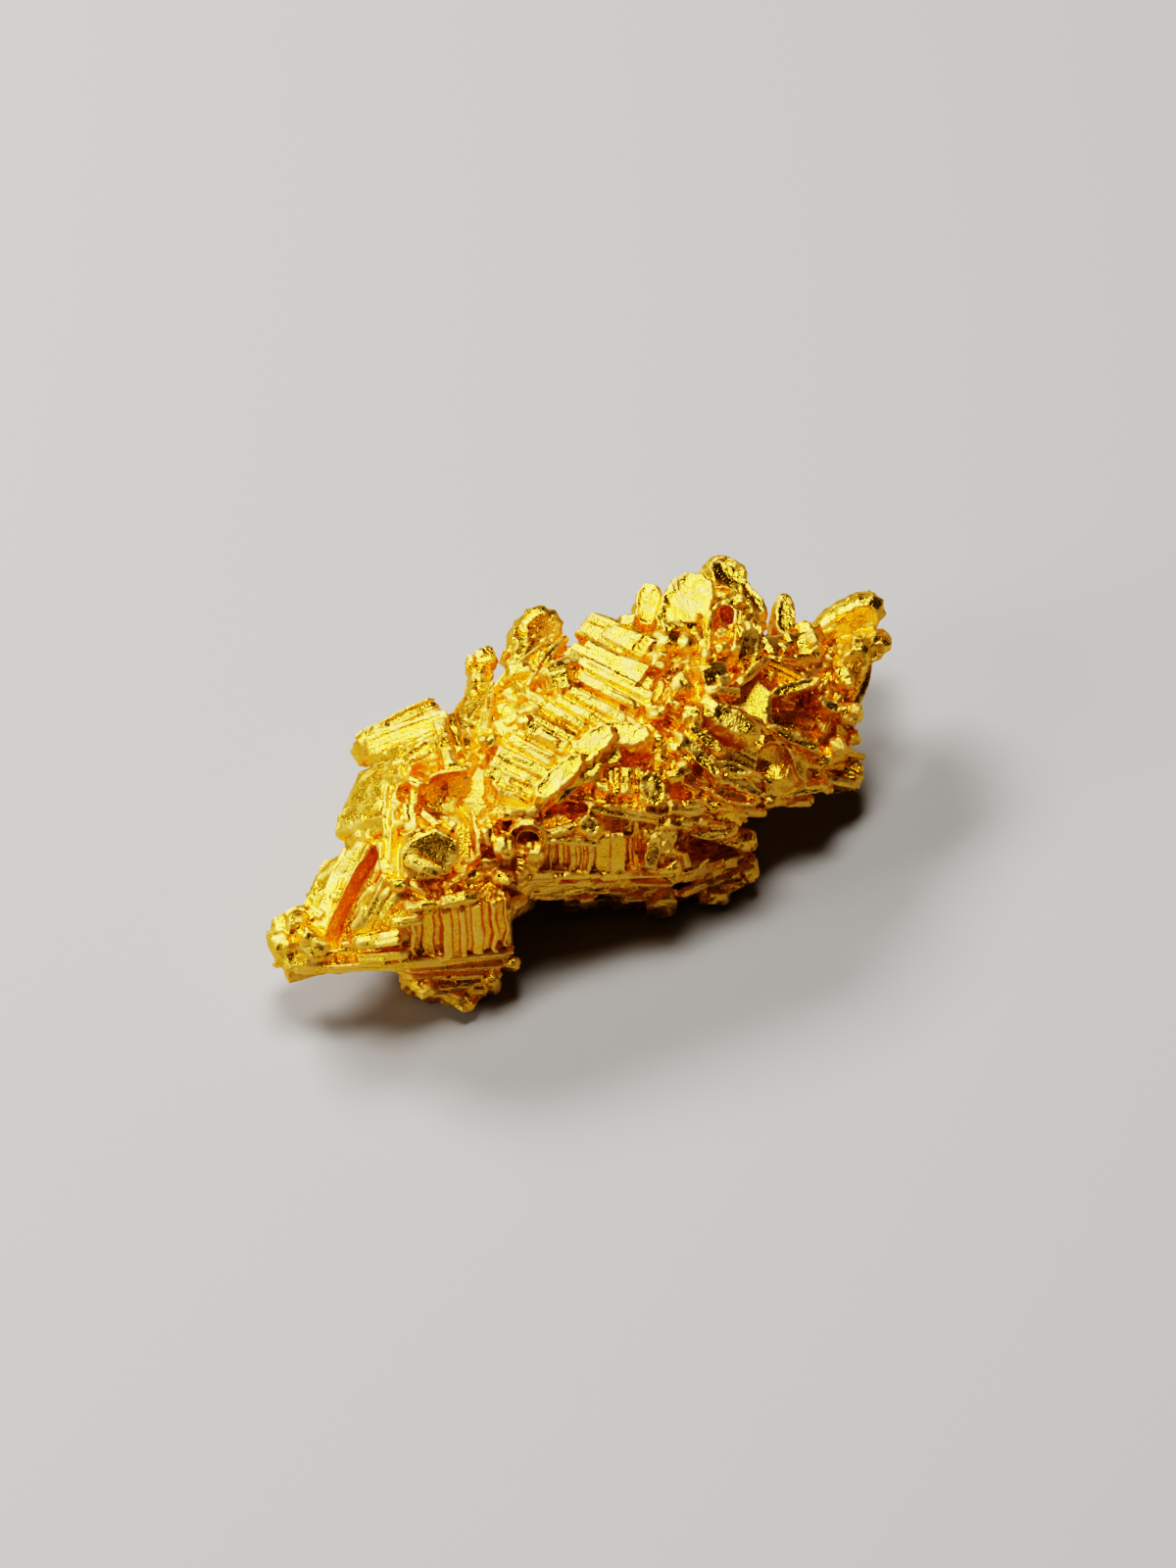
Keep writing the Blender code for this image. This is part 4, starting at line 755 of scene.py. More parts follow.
def lower_blades():
    finger((2.7, -0.85), (4.1, -0.8), 0.6, 0.7)
    finger((2.6, -1.35), (3.7, -1.3), 0.4, 0.6)
    blade((5.05, -0.45), 2.3, 0.75, 1.6, -12, lift=0.8)
    blade((5.05, -0.42), 1.6, 0.36, 0.45, -12, lift=0.95, edge=0.8, into=hollows)
    finger((4.3, -0.85), (6.25, -1.05), 0.4, 0.55)
    finger((3.7, -1.3), (5.2, -1.55), 0.34, 0.6)
    blade((4.1, -1.75), 2.4, 0.5, 1.4, -4, lift=0.35)
    blade((3.8, 0.95), 2.5, 0.6, 2.0, -44, lift=1.05, edge=0.7)
    blade((5.25, -0.05), 2.1, 0.55, 2.0, -22, lift=1.15, edge=0.7)
    blade((4.9, 0.55), 2.0, 0.5, 1.6, -14, lift=1.0, edge=0.7)
    slab((4.4, 0.15), (5.4, 0.05), 0.3, 0.9)
    blade((4.0, 1.5), 1.8, 0.55, 1.6, -36, lift=1.0, edge=0.7)
    blade((4.85, 2.2), 2.5, 1.25, 1.6, -27, lift=1.1)
    ridge((2.3, 0.5), (3.9, -0.3), 0.35, 0.6)
    for centre in ((2.35, 1.5), (2.9, 1.1), (2.4, 0.85), (3.2, 0.6), (2.9, 0.2)):
        knob(centre, (0.6, 0.5, 1.0), 0.5)


def right_basin():
    """The concave faces right of the blades, the crests between them and the rim below."""
    blade((7.05, 1.55), 2.5, 0.5, 1.8, -22, lift=1.0, edge=0.7)
    blade((7.15, 0.6), 2.0, 0.42, 1.8, -58, lift=0.9, edge=0.6)
    blade((7.05, -0.28), 3.1, 0.5, 1.8, -2, lift=0.65, edge=0.75)
    finger((6.2, -0.7), (7.9, -0.65), 0.4, 0.2, 1.8)
    lobe((6.3, 0.65), (1.6, 1.5, 1.6), 0.85, slant=-25, into=hollows)
    knob((8.5, 1.3), (0.6, 0.65, 1.0), 0.4)
    knob((9.1, 1.6), (0.45, 0.5, 0.8), 0.2)
    slab((8.2, 0.75), (9.0, 0.95), 0.4, 0.4)
    slab((8.6, 0.55), (9.5, 0.2), 0.36, 0.4)
    finger((8.9, 0.95), (9.5, 0.45), 0.34, 0.2)
    slab((8.2, 0.2), (9.3, -0.1), 0.3, 0.5)
    finger((7.7, -0.05), (8.5, -0.3), 0.32, 0.7)


# --- the upper right -------------------------------------------------------------------


def dome():
    """Two tall broad crystals side by side, and a knobbed blade that falls away to the right."""
    lean = (NEAR + UP * 0.5).normalized()
    blade((2.05, 6.15), 2.2, 1.1, 2.4, 84, lift=0.3, face=lean, points=12, edge=0.7)
    blade((3.3, 6.1), 3.2, 2.0, 2.8, 70, lift=0.75, face=lean, points=12, edge=0.8)
    blade((3.5, 6.3), 2.3, 1.2, 2.0, 72, lift=0.95, face=lean, points=12, edge=0.6)
    ridge((4.05, 7.15), (3.75, 5.0), 0.5, 0.75, 2.4)
    finger((2.4, 5.2), (3.9, 5.5), 0.7, 0.75, 2.2)
    slab((4.05, 6.95), (4.9, 6.3), 1.1, 0.75, 2.4)
    blade((5.15, 6.75), 3.1, 1.2, 2.0, -57, lift=0.0, points=12, edge=0.8)
    blade((4.85, 7.4), 1.5, 1.0, 1.6, -25, lift=0.1, points=12, edge=0.75)
    ridge((4.75, 7.2), (5.95, 5.3), 0.34, 0.45)
    slab((5.65, 6.6), (5.8, 5.3), 0.4, 0.1, 1.8)
    lobe((4.45, 6.6), (1.0, 0.8, 1.0), 0.85, slant=-35, into=hollows)


def doorway():
    """An arched frame about a dark hole, on steps."""
    finger((4.0, 4.3), (4.15, 5.8), 0.34, 0.65)
    finger((4.1, 5.75), (4.6, 6.25), 0.36, 0.75)
    finger((4.55, 6.25), (5.15, 5.95), 0.36, 0.75)
    slab((5.15, 6.05), (5.1, 4.6), 0.34, 0.7)
    slab((4.35, 5.1), (4.9, 5.2), 0.4, 0.3)
    slab((4.35, 4.6), (4.95, 4.75), 0.4, 0.5)
    lobe((4.65, 5.75), (0.7, 0.75, 2.0), 0.8, into=hollows)


def right_face():
    lean = (NEAR + RIGHT * 0.5).normalized()
    blade((5.45, 4.55), 2.0, 1.1, 1.6, 80, lift=0.35, face=lean, points=8, edge=0.75)
    finger((5.2, 3.45), (6.3, 4.4), 0.35, 0.65)
    slab((5.75, 5.4), (5.85, 4.6), 0.3, 0.5)
    crystal((3.85, 3.6), (4.85, 3.75), 0.85, depth=1.8, lift=0.85, face=NEAR, tips=(0.9, 0.9), tip=0.1)
    slab((4.0, 3.2), (5.3, 3.1), 0.3, 0.75)
    lobe((2.55, 4.75), (1.5, 1.0, 1.8), 0.5)
    lobe((3.3, 4.7), (0.9, 0.9, 1.6), 0.55)
    knob((2.4, 4.15), (0.7, 0.6, 1.2), 0.45)
    knob((3.2, 3.3), (0.7, 0.8, 1.2), 0.55)
    knob((2.3, 2.5), (0.7, 0.5, 1.0), 0.5)
    knob((3.5, 2.3), (0.6, 0.8, 1.0), 0.75)
    knob((2.9, 2.75), (0.6, 0.4, 1.0), 0.55)
    blade((2.35, 3.3), 1.3, 0.5, 0.8, 62, lift=0.5, edge=0.9, into=hollows)


def far_right():
    """The fluted hollow, the shoulder over it, and the long blades at the end."""
    blade((7.05, 3.35), 2.5, 0.5, 2.0, 20, lift=1.0, edge=0.7)
    blade((8.25, 2.75), 1.2, 0.5, 1.8, -22, lift=0.9, edge=0.7)
    flutes = comb(7, 0.25)
    crystal((7.1, 3.0), (7.2, 1.85), 2.3, lift=0.9, section=flutes, tips=(1, 0.9), into=hollows)
    crystal((6.0, 4.15), (7.6, 3.4), 0.55, depth=1.8, lift=0.3, section=stairs(3, 0.12))
    shoulder = (NEAR + UP * 0.5).normalized()
    crystal((6.1, 4.75), (7.9, 4.95), 1.1, depth=1.8, lift=0.3, face=shoulder, tips=(0.8, 0.9))
    ridge((6.3, 4.3), (7.8, 4.35), 0.5, 0.45, 1.6)
    knob((7.6, 4.6), (0.9, 1.0, 1.4), 0.3)
    blade((6.78, 5.85), 2.1, 0.85, 1.2, 80, lift=-0.3, points=12, edge=0.75)
    crystal((7.9, 4.7), (7.3, 5.75), 0.55, depth=1.2, section=half_round)
    thin = (NEAR - UP * 0.3).normalized()
    blade((8.9, 5.35), 3.0, 1.5, 1.4, 34, lift=0.1, face=thin, points=12, edge=0.75)
    blade((9.25, 5.7), 2.0, 1.0, 1.4, 28, lift=0.0, face=thin, points=12, edge=0.75)
    blade((9.35, 4.4), 2.3, 0.95, 1.5, 20, lift=0.3, face=thin, points=12, edge=0.75)
    blade((8.95, 3.6), 2.7, 1.1, 1.6, 70, lift=0.3, face=thin, points=12, edge=0.8)
    crystal((9.6, 4.4), (9.05, 2.5), 0.6, 1.4, lift=0.15, section=stairs(2, 0.12), tips=(0.9, 0.6), tip=0.5)
    knob((8.75, 3.6), (0.7, 0.8, 1.0), 0.4)
    knob((8.9, 2.4), (0.8, 0.8, 1.2), 0.15)
    finger((8.2, 4.3), (8.7, 4.6), 0.6, 0.55)


# --- the sides that face away ---------------------------------------------------------

BACK_STATIONS = (-9.0, -7.4, -6.0, -4.6, -3.2, -1.8, -0.4, 1.0, 2.4, 3.8, 5.2, 6.6, 7.9)
BACK_ANGLES = (55, 88, 122, 160, 205, 240)
BACK_LAYERS = 4  # on each crystal
BACK_DEPTH = 2.2
# The three directions that crystals grow in.
GRAIN = ((0.95, 0.05, 0.3), (0.3, 0.2, 0.93), (0.55, 0.75, -0.35))


def overshoot(points):
    """How far points stand outside the body's outline as the viewer sees it."""
    worst = 0.0
    for p in points:
        u, v = p.dot(RIGHT), p.dot(UP)
        centre, r = body_at(u)
        beyond = max(abs(v - centre) - 0.9 * r, BODY[1][0] - u, u - BODY[-2][0] + 0.4)
        worst = max(worst, beyond)
    return worst


def back():
    """Crystals all over the back, the underside and the far end, along the same three directions."""
    for i, u in enumerate(BACK_STATIONS):
        for k, angle in enumerate(BACK_ANGLES):
            along_body = u + rng.uniform(-0.4, 0.4)
            round_body = angle + rng.uniform(-10, 10)
            place, out = round_the_back(along_body, round_body, rng.uniform(-0.45, 0.25))
            reach = body_at(u)[1] / 5
            kind = (i + 2 * k) % 4
            along = Vector(GRAIN[(i + k) % 3]).normalized()
            along = (along - out * along.dot(out) * 0.8).normalized()
            half = along * rng.uniform(0.9, 1.5) * reach
            width = rng.uniform(0.8, 1.5) * reach
            section = (block, comb(4, 0.18), half_round, roof)[kind]
            inward = out * overshoot((place - half, place, place + half)) * 1.3
            place = place - inward
            start, end = place - half, place + half
            outline = striate(section(width, BACK_DEPTH), BACK_DEPTH)
            bm = loft(outline, start, end, out, ((0, 0.75), (0.15, 1), (0.85, 1), (1, 0.75)), RAGGED)
            roughen(bm, 0.5)
            layers(start, end, out, width, BACK_LAYERS)
            solid("back_crystal", bm, grown)


def ground_cut():
    """Cuts the feet flat where they touch the ground."""
    bm = bmesh.new()
    bmesh.ops.create_cube(bm, size=1)
    size = Matrix.Diagonal((60, 40, 10, 1))
    bmesh.ops.transform(bm, matrix=Matrix.Translation((0, 0, GROUND - 5)) @ size, verts=bm.verts)
    solid("ground_cut", bm, hollows)


# Feet: place along the body and across it, spread each way, height, number of crystals, and their size.
FEET = (
    (-4.6, 2.4, 1.5, 0.9, 3.4, 9, 1.0),
    (-7.0, -2.8, 0.7, 0.45, 1.4, 6, 0.75),
    (0.9, -2.85, 0.6, 0.3, 1.4, 5, 0.6),
    (3.6, 2.2, 1.6, 1.0, 3.4, 9, 1.0),
)
FOOT_LEAN = 0.35
BELLY = ((-0.6, 0.6, 5.0, 3.6, 2.2), (-5.6, 0.2, 3.0, 3.0, 2.4), (4.4, 0.0, 3.0, 2.6, 2.4))


def foot(place, size, turn):
    """A blunt block of these sizes, turned about the vertical."""
    lean = Matrix.Rotation(rng.uniform(-FOOT_LEAN, FOOT_LEAN), 4, "X")
    lean @= Matrix.Rotation(rng.uniform(-FOOT_LEAN, FOOT_LEAN), 4, "Y")
    blunt(place, Matrix.Diagonal((*size, 1)), Matrix.Rotation(turn, 4, "Z") @ lean)


def feet():
    """Clusters of blunt crystals that carry the nugget, and a belly that stops short of the ground."""
    for x, y, along, across, height, count, share in FEET:
        for i in range(count):
            angle = 2.4 * i
            reach = math.sqrt(i / count)
            place = Vector((x + along * reach * math.cos(angle), y + across * reach * math.sin(angle), 0))
            place.z = GROUND - 0.3 + height / 2 + rng.uniform(0, 0.12)
            size = (rng.uniform(1.0, 1.7) * share, rng.uniform(0.8, 1.4) * share, height)
            foot(place, size, rng.uniform(-0.6, 0.6))
    for x, y, length, breadth, height in BELLY:
        foot(Vector((x, y, GROUND + 0.6 + height / 2)), (length, breadth, height), rng.uniform(-0.4, 0.4))


# --- the ground between the crystals --------------------------------------------------------

# Fields of small parallel crystals: middle, spread each way, slant in degrees, lift and count.
FIELDS = (
    ((-9.7, -5.2), (0.4, 0.7), 50, 0.0, 10),
    ((-8.7, -4.1), (0.4, 1.0), 64, -0.1, 10),
    ((-7.0, -3.9), (0.7, 1.0), 45, 0.1, 16),
    ((-7.2, -1.0), (0.6, 0.5), 25, 0.2, 8),
    ((-6.2, 1.2), (0.9, 0.7), 24, 0.35, 14),
    ((-6.3, -1.2), (0.7, 1.4), 85, 0.05, 18),
    ((-4.6, -3.2), (1.8, 0.7), 10, 0.0, 22),
    ((-4.5, -4.0), (2.2, 0.3), 5, 0.1, 16),
    ((-4.5, -6.6), (1.0, 0.4), 4, -0.1, 12),
    ((-8.0, -5.9), (1.8, 0.5), 3, 0.0, 18),
    ((-2.3, -2.0), (0.9, 1.2), 20, -0.1, 20),
    ((-3.4, 1.4), (1.4, 1.6), 60, -0.1, 26),
    ((-2.2, 4.2), (0.6, 0.8), 50, 0.0, 14),
    ((-0.2, 3.0), (1.8, 2.0), -33, 0.3, 30),
    ((-2.0, 0.8), (1.4, 1.2), -33, 0.3, 22),
    ((0.4, 0.2), (1.8, 1.3), 35, 0.3, 26),
    ((0.6, -1.4), (1.9, 0.5), -8, 0.1, 24),
    ((0.5, -3.4), (2.4, 0.5), 0, -0.1, 26),
    ((2.9, 0.6), (1.2, 1.6), -35, 0.3, 30),
    ((4.5, 0.6), (1.6, 1.8), -28, 0.5, 18),
    ((4.3, -1.5), (1.1, 0.5), -8, 0.1, 16),
    ((4.3, -3.1), (0.9, 0.5), 18, 0.0, 16),
    ((3.0, 3.4), (1.3, 1.6), 50, 0.2, 30),
    ((4.6, 5.6), (1.2, 1.8), 75, 0.2, 24),
    ((6.6, 1.0), (1.4, 1.4), -30, 0.4, 14),
    ((6.9, 4.2), (1.5, 1.2), 30, 0.2, 16),
    ((8.6, 3.3), (0.5, 1.0), 70, 0.1, 16),
    ((8.4, 0.6), (0.5, 0.6), -10, 0.2, 12),
)


def fields():
    """Small parallel crystals in the clefts, so that no smooth ground shows between the named ones."""
    for (u, v), (du, dv), slant, lift, count in FIELDS:
        rng.seed(f"{u} {v}")
        for _ in range(count):
            place = Vector((u + rng.uniform(-du, du), v + rng.uniform(-dv, dv)))
            a = math.radians(slant + rng.uniform(-9, 9))
            half = Vector((math.cos(a), math.sin(a))) * rng.uniform(0.3, 0.8)
            section = rng.choice((block, roof, half_round, stairs(2, 0.1)))
            width = rng.uniform(0.18, 0.42)
            crystal(place - half, place + half, width, 1.2, lift - rng.uniform(0.15, 0.5), section=section)


# --- the skin ---------------------------------------------------------------------------


def combine(obj, name, operation, collection):
    """MANIFOLD, because EXACT leaves open edges where this many crystals overlap."""
    modifier = obj.modifiers.new(name, "BOOLEAN")
    modifier.operation = operation
    modifier.operand_type = "COLLECTION"
    modifier.collection = collection
    modifier.solver = "MANIFOLD"


def apply_modifiers(obj):
    bpy.context.view_layer.update()
    graph = bpy.context.evaluated_depsgraph_get()
    obj.data = bpy.data.meshes.new_from_object(obj.evaluated_get(graph))
    obj.modifiers.clear()


def grow():
    """All the crystals as one object in millimetres."""
    root = bpy.context.scene.collection
    for collection in (grown, hollows, late):
        root.children.link(collection)
    for region in (
        core, masses, left_tip, prow, small_prism, upper_left_prism, arch, dark_hexagon, left_front,
        left_wall, bowl, hooks, column, arc_hopper, leaf_crystal, striated_block, front_crest, front_ledges,
        middle_wall, under_layers, tail, lower_blades, right_basin, dome, doorway, right_face, far_right,
        fields, back, feet, ground_cut,
    ):
        rng.seed(region.__name__)
        region()
    body = grown.objects[0]
    grown.objects.unlink(body)
    root.objects.link(body)
    combine(body, "grow", "UNION", grown)
    combine(body, "hollow", "DIFFERENCE", hollows)
    combine(body, "grow_late", "UNION", late)
    apply_modifiers(body)
    for collection in (grown, hollows, late):
        for obj in list(collection.objects):
            bpy.data.objects.remove(obj)
        bpy.data.collections.remove(collection)
    return body


def rows_of(elements, name, columns, kind=np.float32):
    """One property of all the elements of a mesh, a row for each."""
    values = np.empty(len(elements) * columns, kind)
    elements.foreach_get(name, values)
    return values.reshape(-1, columns)


def points_of(mesh):
    return rows_of(mesh.vertices, "co", 3).astype(float)


def normals_of(mesh):
    return rows_of(mesh.vertex_normals, "vector", 3).astype(float)


def edges_of(mesh):
    return rows_of(mesh.edges, "vertices", 2, np.int32)


def smoothed(values, edges, rounds):
    """The values averaged with those of their neighbours, this many times."""
    count = np.bincount(edges.ravel(), minlength=len(values)).astype(float)
    columns = values.reshape(len(values), -1).copy()
    for _ in range(rounds):
        for k in range(columns.shape[1]):
            near = np.bincount(edges[:, 0], columns[edges[:, 1], k], len(values))
            near += np.bincount(edges[:, 1], columns[edges[:, 0], k], len(values))
            columns[:, k] = 0.4 * columns[:, k] + 0.6 * near / count
    return columns.reshape(values.shape)


def bulge(mesh, rounds):
    """How far each point stands out of its surroundings, in millimetres. It is negative in a hollow."""
    points = points_of(mesh)
    return ((points - smoothed(points, edges_of(mesh), rounds)) * normals_of(mesh)).sum(axis=1)


def displace(obj, name, scale, strength, depth, group=""):
    texture = bpy.data.textures.new(name, "CLOUDS")
    texture.noise_scale = scale
    texture.noise_depth = depth
    modifier = obj.modifiers.new(name, "DISPLACE")
    modifier.texture = texture
    modifier.texture_coords = "LOCAL"
    modifier.strength = strength
    modifier.mid_level = 0.5
    modifier.vertex_group = group


def weigh(obj, name, weights):
    """A vertex group with these weights from 0 to 1, in 32 steps."""
    group = obj.vertex_groups.new(name=name)
    levels = np.clip(np.round(weights * 32), 0, 32).astype(int)
    for level in range(1, 33):
        group.add(np.flatnonzero(levels == level).tolist(), level / 32, "REPLACE")


def store(mesh, name, values):
    attribute = mesh.attributes.new(name, "FLOAT", "POINT")
    attribute.data.foreach_set("value", values.astype(np.float32))


def offset(points, triangles, distance):
    """A closed surface moved outward by this distance in millimetres, as points and triangles."""
    grid = openvdb.FloatGrid.createLevelSetFromPolygons(
        points,
        triangles=triangles,
        transform=openvdb.createLinearTransform(voxelSize=FUSE_GRID),
        halfWidth=abs(distance) / FUSE_GRID + 2,
    )
    points, _, quads = grid.convertToPolygons(isovalue=distance)
    return points, np.concatenate([quads[:, [0, 2, 1]], quads[:, [0, 3, 2]]])


def fill_clefts(body):
    """Adds smooth ground in the narrow clefts between the crystals, a little below their faces."""
    mesh = body.data
    mesh.calc_loop_triangles()
    triangles = rows_of(mesh.loop_triangles, "vertices", 3, np.int32)
    points = rows_of(mesh.vertices, "co", 3)
    points, triangles = offset(points, triangles, CLEFT_WIDTH / 2)
    points, triangles = offset(points, triangles, -CLEFT_WIDTH / 2 - CLEFT_DEPTH)
    ground = bpy.data.meshes.new("ground")
    ground.from_pydata(points.tolist(), [], triangles.tolist())
    joined = bmesh.new()
    joined.from_mesh(mesh)
    joined.from_mesh(ground)
    joined.to_mesh(mesh)
    joined.free()


def skin(body):
    """Fuses the crystals, wears their rims and gives the rims their grain."""
    fill_clefts(body)
    fuse = body.modifiers.new("fuse", "REMESH")
    fuse.mode = "VOXEL"
    fuse.voxel_size = FUSE_GRID
    apply_modifiers(body)
    worn = np.clip(bulge(body.data, 6) / WORN_BULGE, 0, 1)
    worn = smoothed(worn, edges_of(body.data), 3)
    weigh(body, "worn", np.clip(0.25 + worn, 0, 1))
    displace(body, "lumps", LUMP_SIZE, LUMP_RELIEF, depth=2)
    displace(body, "grain", GRAIN_SIZE, GRAIN_RELIEF, depth=1, group="worn")
    apply_modifiers(body)


def thin_out(body):
    """Brings the skin under its limit of triangles, mostly on the sides that face away."""
    triangles = 2 * len(body.data.polygons)
    away = 0.5 - 0.5 * np.clip(normals_of(body.data) @ np.array(NEAR) * 2.5 + 0.6, -1, 1)
    weigh(body, "away", 0.15 + 0.85 * away)
    thin = body.modifiers.new("thin", "DECIMATE")
    thin.ratio = SKIN_TRIANGLES / triangles
    thin.vertex_group = "away"
    thin.vertex_group_factor = 1.0
    apply_modifiers(body)


def colour_masks(mesh):
    """Worn rims and deep hollows, for the gold. The rims' paler colour is real wear and partly a painted
    highlight; the hollows' deeper orange is painted reflection and shade.
    """
    rounds = 14
    # Rims: real wear, rougher; their paler colour is partly a painted highlight.
    rim = bulge(mesh, rounds)
    store(mesh, "rim", np.clip(rim / RIM_BULGE, -1, 1))
    # The deep measure places a painted reflection and shade: a deeper orange in the hollows.
    deep = bulge(mesh, 90)
    store(mesh, "deep", np.clip(deep / DEEP_BULGE, -1, 1))


# --- the gold -------------------------------------------------------------------------------

PLAIN_GOLD = (0.92, 0.5, 0.04, 1)
YELLOW_GOLD = (1.0, 0.57, 0.07, 1)
# Painted reflection and shade: a deeper, darker orange for the hollows, where gold reflects gold.
HOLLOW_REFLECTION_SHADE_GOLD = (0.94, 0.49, 0.035, 1)
# Paler gold on worn rims and frosted patches: real wear, and partly a painted highlight.
WORN_AND_HIGHLIGHT_GOLD = (1.0, 0.63, 0.15, 1)
GLANCING_TINT = (1.0, 0.8, 0.45, 1)
WORN_ROUGHNESS = 0.55
GRAIN_BUMP = 0.00005  # height of the finest grain, in metres
GRAIN_STRENGTH = 0.7


def gold():
    material = bpy.data.materials.new("native_gold")
    material.use_nodes = True
    tree = material.node_tree
    nodes, links = tree.nodes, tree.links
    shader = nodes["Principled BSDF"]
    shader.inputs["Metallic"].default_value = 1
    shader.inputs["Specular Tint"].default_value = GLANCING_TINT

    def node(kind, **settings):
        made = nodes.new(kind)
        for key, value in settings.items():
            setattr(made, key, value)
        return made

    def mask(name, low, high):
        """An attribute brought to the range from 0 to 1."""
        return span(node("ShaderNodeAttribute", attribute_name=name).outputs["Fac"], low, high, 0, 1)

    def blend(factor, a, b):
        mix = node("ShaderNodeMix", data_type="RGBA")
        for socket, value in ((mix.inputs["A"], a), (mix.inputs["B"], b)):
            if isinstance(value, tuple):
                socket.default_value = value
            else:
                links.new(value, socket)
        links.new(factor, mix.inputs["Factor"])
        return mix.outputs["Result"]

    place = node("ShaderNodeTexCoord").outputs["Object"]

    def noise(scale, detail):
        made = node("ShaderNodeTexNoise")
        made.inputs["Scale"].default_value = scale
        made.inputs["Detail"].default_value = detail
        links.new(place, made.inputs["Vector"])
        return made.outputs["Fac"]

    def span(value, low, high, to_low, to_high):
        made = node("ShaderNodeMapRange")
        made.inputs["From Min"].default_value = low
        made.inputs["From Max"].default_value = high
        made.inputs["To Min"].default_value = to_low
        made.inputs["To Max"].default_value = to_high
        links.new(value, made.inputs["Value"])
        return made.outputs["Result"]

    def total(a, b):
        made = node("ShaderNodeMath", operation="ADD", use_clamp=True)
        links.new(a, made.inputs[0])
        links.new(b, made.inputs[1])
        return made.outputs["Value"]

    deep = mask("deep", 0.1, -0.8)
    patches = noise(400, 3)
    fine = noise(14000, 3)
    frost = noise(1800, 6)
    # Wear on the rims and frosted patches: rougher for real wear; its paler colour is partly a painted
    # highlight.
    worn = total(mask("rim", -0.15, 0.75), span(frost, 0.45, 0.62, -0.45, 0.55))

    colour = blend(span(patches, 0.35, 0.65, 0, 1), PLAIN_GOLD, YELLOW_GOLD)
    # Painted reflection and shade in the hollows.
    colour = blend(deep, colour, HOLLOW_REFLECTION_SHADE_GOLD)
    # Paler worn rims: real wear, partly a painted highlight.
    colour = blend(worn, colour, WORN_AND_HIGHLIGHT_GOLD)
    links.new(colour, shader.inputs["Base Color"])

    rough = span(fine, 0.3, 0.7, 0.18, 0.32)
    worn_rough = node("ShaderNodeMix", data_type="FLOAT")
    links.new(worn, worn_rough.inputs["Factor"])
    links.new(rough, worn_rough.inputs["A"])
    worn_rough.inputs["B"].default_value = WORN_ROUGHNESS
    links.new(worn_rough.outputs["Result"], shader.inputs["Roughness"])

    bump = node("ShaderNodeBump")
    bump.inputs["Strength"].default_value = GRAIN_STRENGTH
    bump.inputs["Distance"].default_value = GRAIN_BUMP
    links.new(fine, bump.inputs["Height"])
    links.new(bump.outputs["Normal"], shader.inputs["Normal"])
    return material


# --- pieces ---------------------------------------------------------------------------------


def parted(body, count):
    """The skin as this many pieces along the nugget, each with about the same number of faces."""
    mesh = body.data
    along = rows_of(mesh.polygons, "center", 3)[:, 0]
    limits = np.quantile(along, np.linspace(0, 1, count + 1))
    pieces = []
    for i in range(count):
        outside = np.flatnonzero((along < limits[i]) | (along >= limits[i + 1] + (i == count - 1)))
        bm = bmesh.new()
        bm.from_mesh(mesh)
        bm.faces.ensure_lookup_table()
        bmesh.ops.delete(bm, geom=[bm.faces[k] for k in outside], context="FACES")
        part = bpy.data.meshes.new(f"gold_{i + 1}")
        bm.to_mesh(part)
        bm.free()
        piece = bpy.data.objects.new(f"gold_{i + 1}", part)
        bpy.context.scene.collection.objects.link(piece)
        pieces.append(piece)
    bpy.data.objects.remove(body)
    return pieces


def to_frame(mesh):
    points = (points_of(mesh) + np.array(REST_OFFSET)) * MM
    mesh.vertices.foreach_set("co", points.astype(np.float32).ravel())
    mesh.update()


def nugget():
    body = grow()
    skin(body)
    thin_out(body)
    colour_masks(body.data)
    triangles = sum(len(face.vertices) - 2 for face in body.data.polygons)
    to_frame(body.data)
    body.data.polygons.foreach_set("use_smooth", [True] * len(body.data.polygons))
    pieces = parted(body, math.ceil(triangles / PIECE_FACES))
    material = gold()
    for piece in pieces:
        piece.data.materials.append(material)
        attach(piece, "root")
        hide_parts("nugget")


# --- the studio ---------------------------------------------------------------------------------

CAMERA_DISTANCE = 0.4
LENS = 270  # 30 pixels a millimetre at that distance


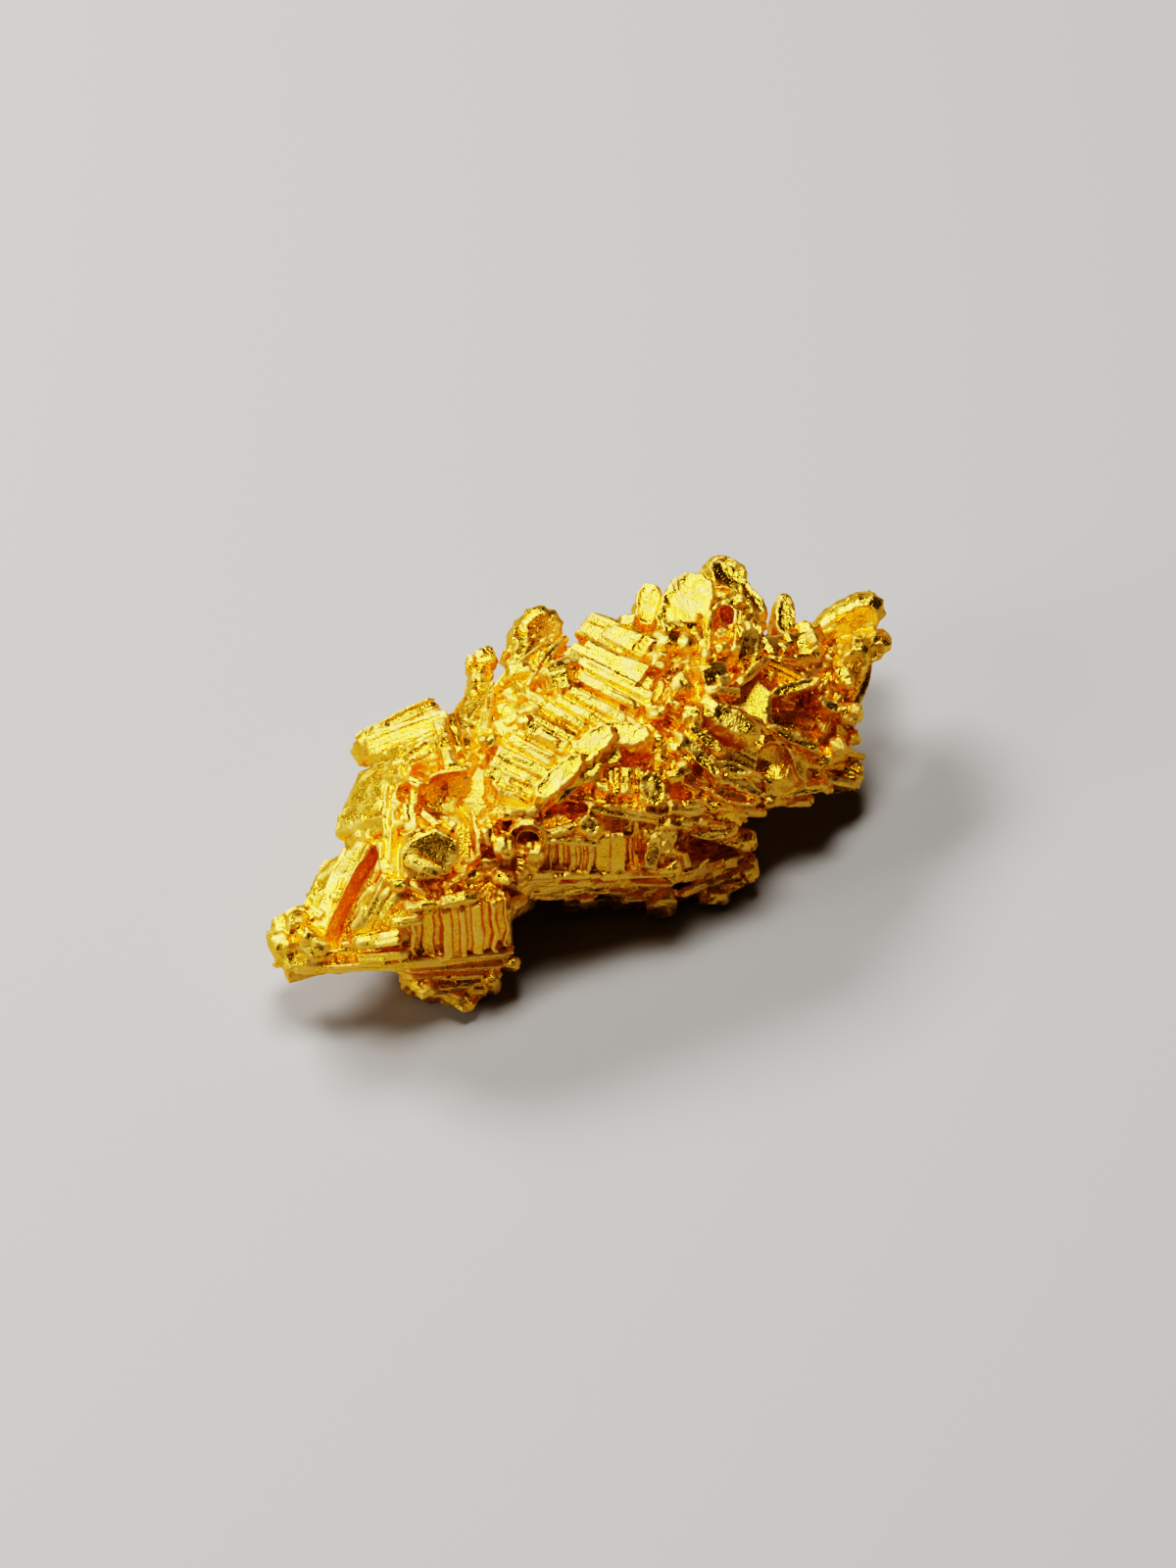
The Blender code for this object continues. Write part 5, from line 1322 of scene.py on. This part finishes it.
def studio():
    root = bpy.context.scene.collection
    floor_mesh = bpy.data.meshes.new("floor")
    floor_mesh.from_pydata([(-2, -2, 0), (2, -2, 0), (2, 2, 0), (-2, 2, 0)], [], [(0, 1, 2, 3)])
    floor = bpy.data.objects.new("floor", floor_mesh)
    floor.location.z = cad_box[0][2]
    paper = bpy.data.materials.new("pale_floor")
    paper.use_nodes = True
    paper.node_tree.nodes["Principled BSDF"].inputs["Base Color"].default_value = (0.38, 0.37, 0.355, 1)
    paper.node_tree.nodes["Principled BSDF"].inputs["Roughness"].default_value = 0.8
    floor_mesh.materials.append(paper)
    root.objects.link(floor)

    world = bpy.data.worlds.new("studio")
    world.use_nodes = True
    world.node_tree.nodes["Background"].inputs["Color"].default_value = (1.0, 0.86, 0.66, 1)
    world.node_tree.nodes["Background"].inputs["Strength"].default_value = 0.02
    bpy.context.scene.world = world

    # Soft boxes: place, width, height and power. All face the nugget.
    aim = Vector((0, 0, 0.004))
    boxes = {
        "back_box": ((-0.04, 0.16, 0.17), 0.12, 0.07, 0.5),
        "top_box": ((-0.03, -0.01, 0.26), 0.08, 0.1, 0.5),
        "left_box": ((-0.2, 0.02, 0.1), 0.04, 0.1, 0.14),
    }
    for name, (place, width, height, power) in boxes.items():
        light = bpy.data.lights.new(name, "AREA")
        light.shape = "RECTANGLE"
        light.size, light.size_y, light.energy = width, height, power
        lamp = bpy.data.objects.new(name, light)
        lamp.location = place
        lamp.rotation_euler = (aim - lamp.location).to_track_quat("-Z", "Y").to_euler()
        root.objects.link(lamp)


def camera():
    camera_data = bpy.data.cameras.new("camera")
    camera_data.lens = LENS
    camera_object = bpy.data.objects.new("camera", camera_data)
    aim = REST_OFFSET * MM
    camera_object.location = aim + NEAR * CAMERA_DISTANCE
    camera_object.rotation_euler = Matrix((RIGHT, UP, NEAR)).transposed().to_euler()
    camera_data.clip_start = 0.01
    bpy.context.scene.collection.objects.link(camera_object)
    bpy.context.scene.camera = camera_object
    bpy.context.scene.view_settings.view_transform = "Filmic"
    bpy.context.scene.view_settings.look = "Very High Contrast"


nugget()
studio()
camera()
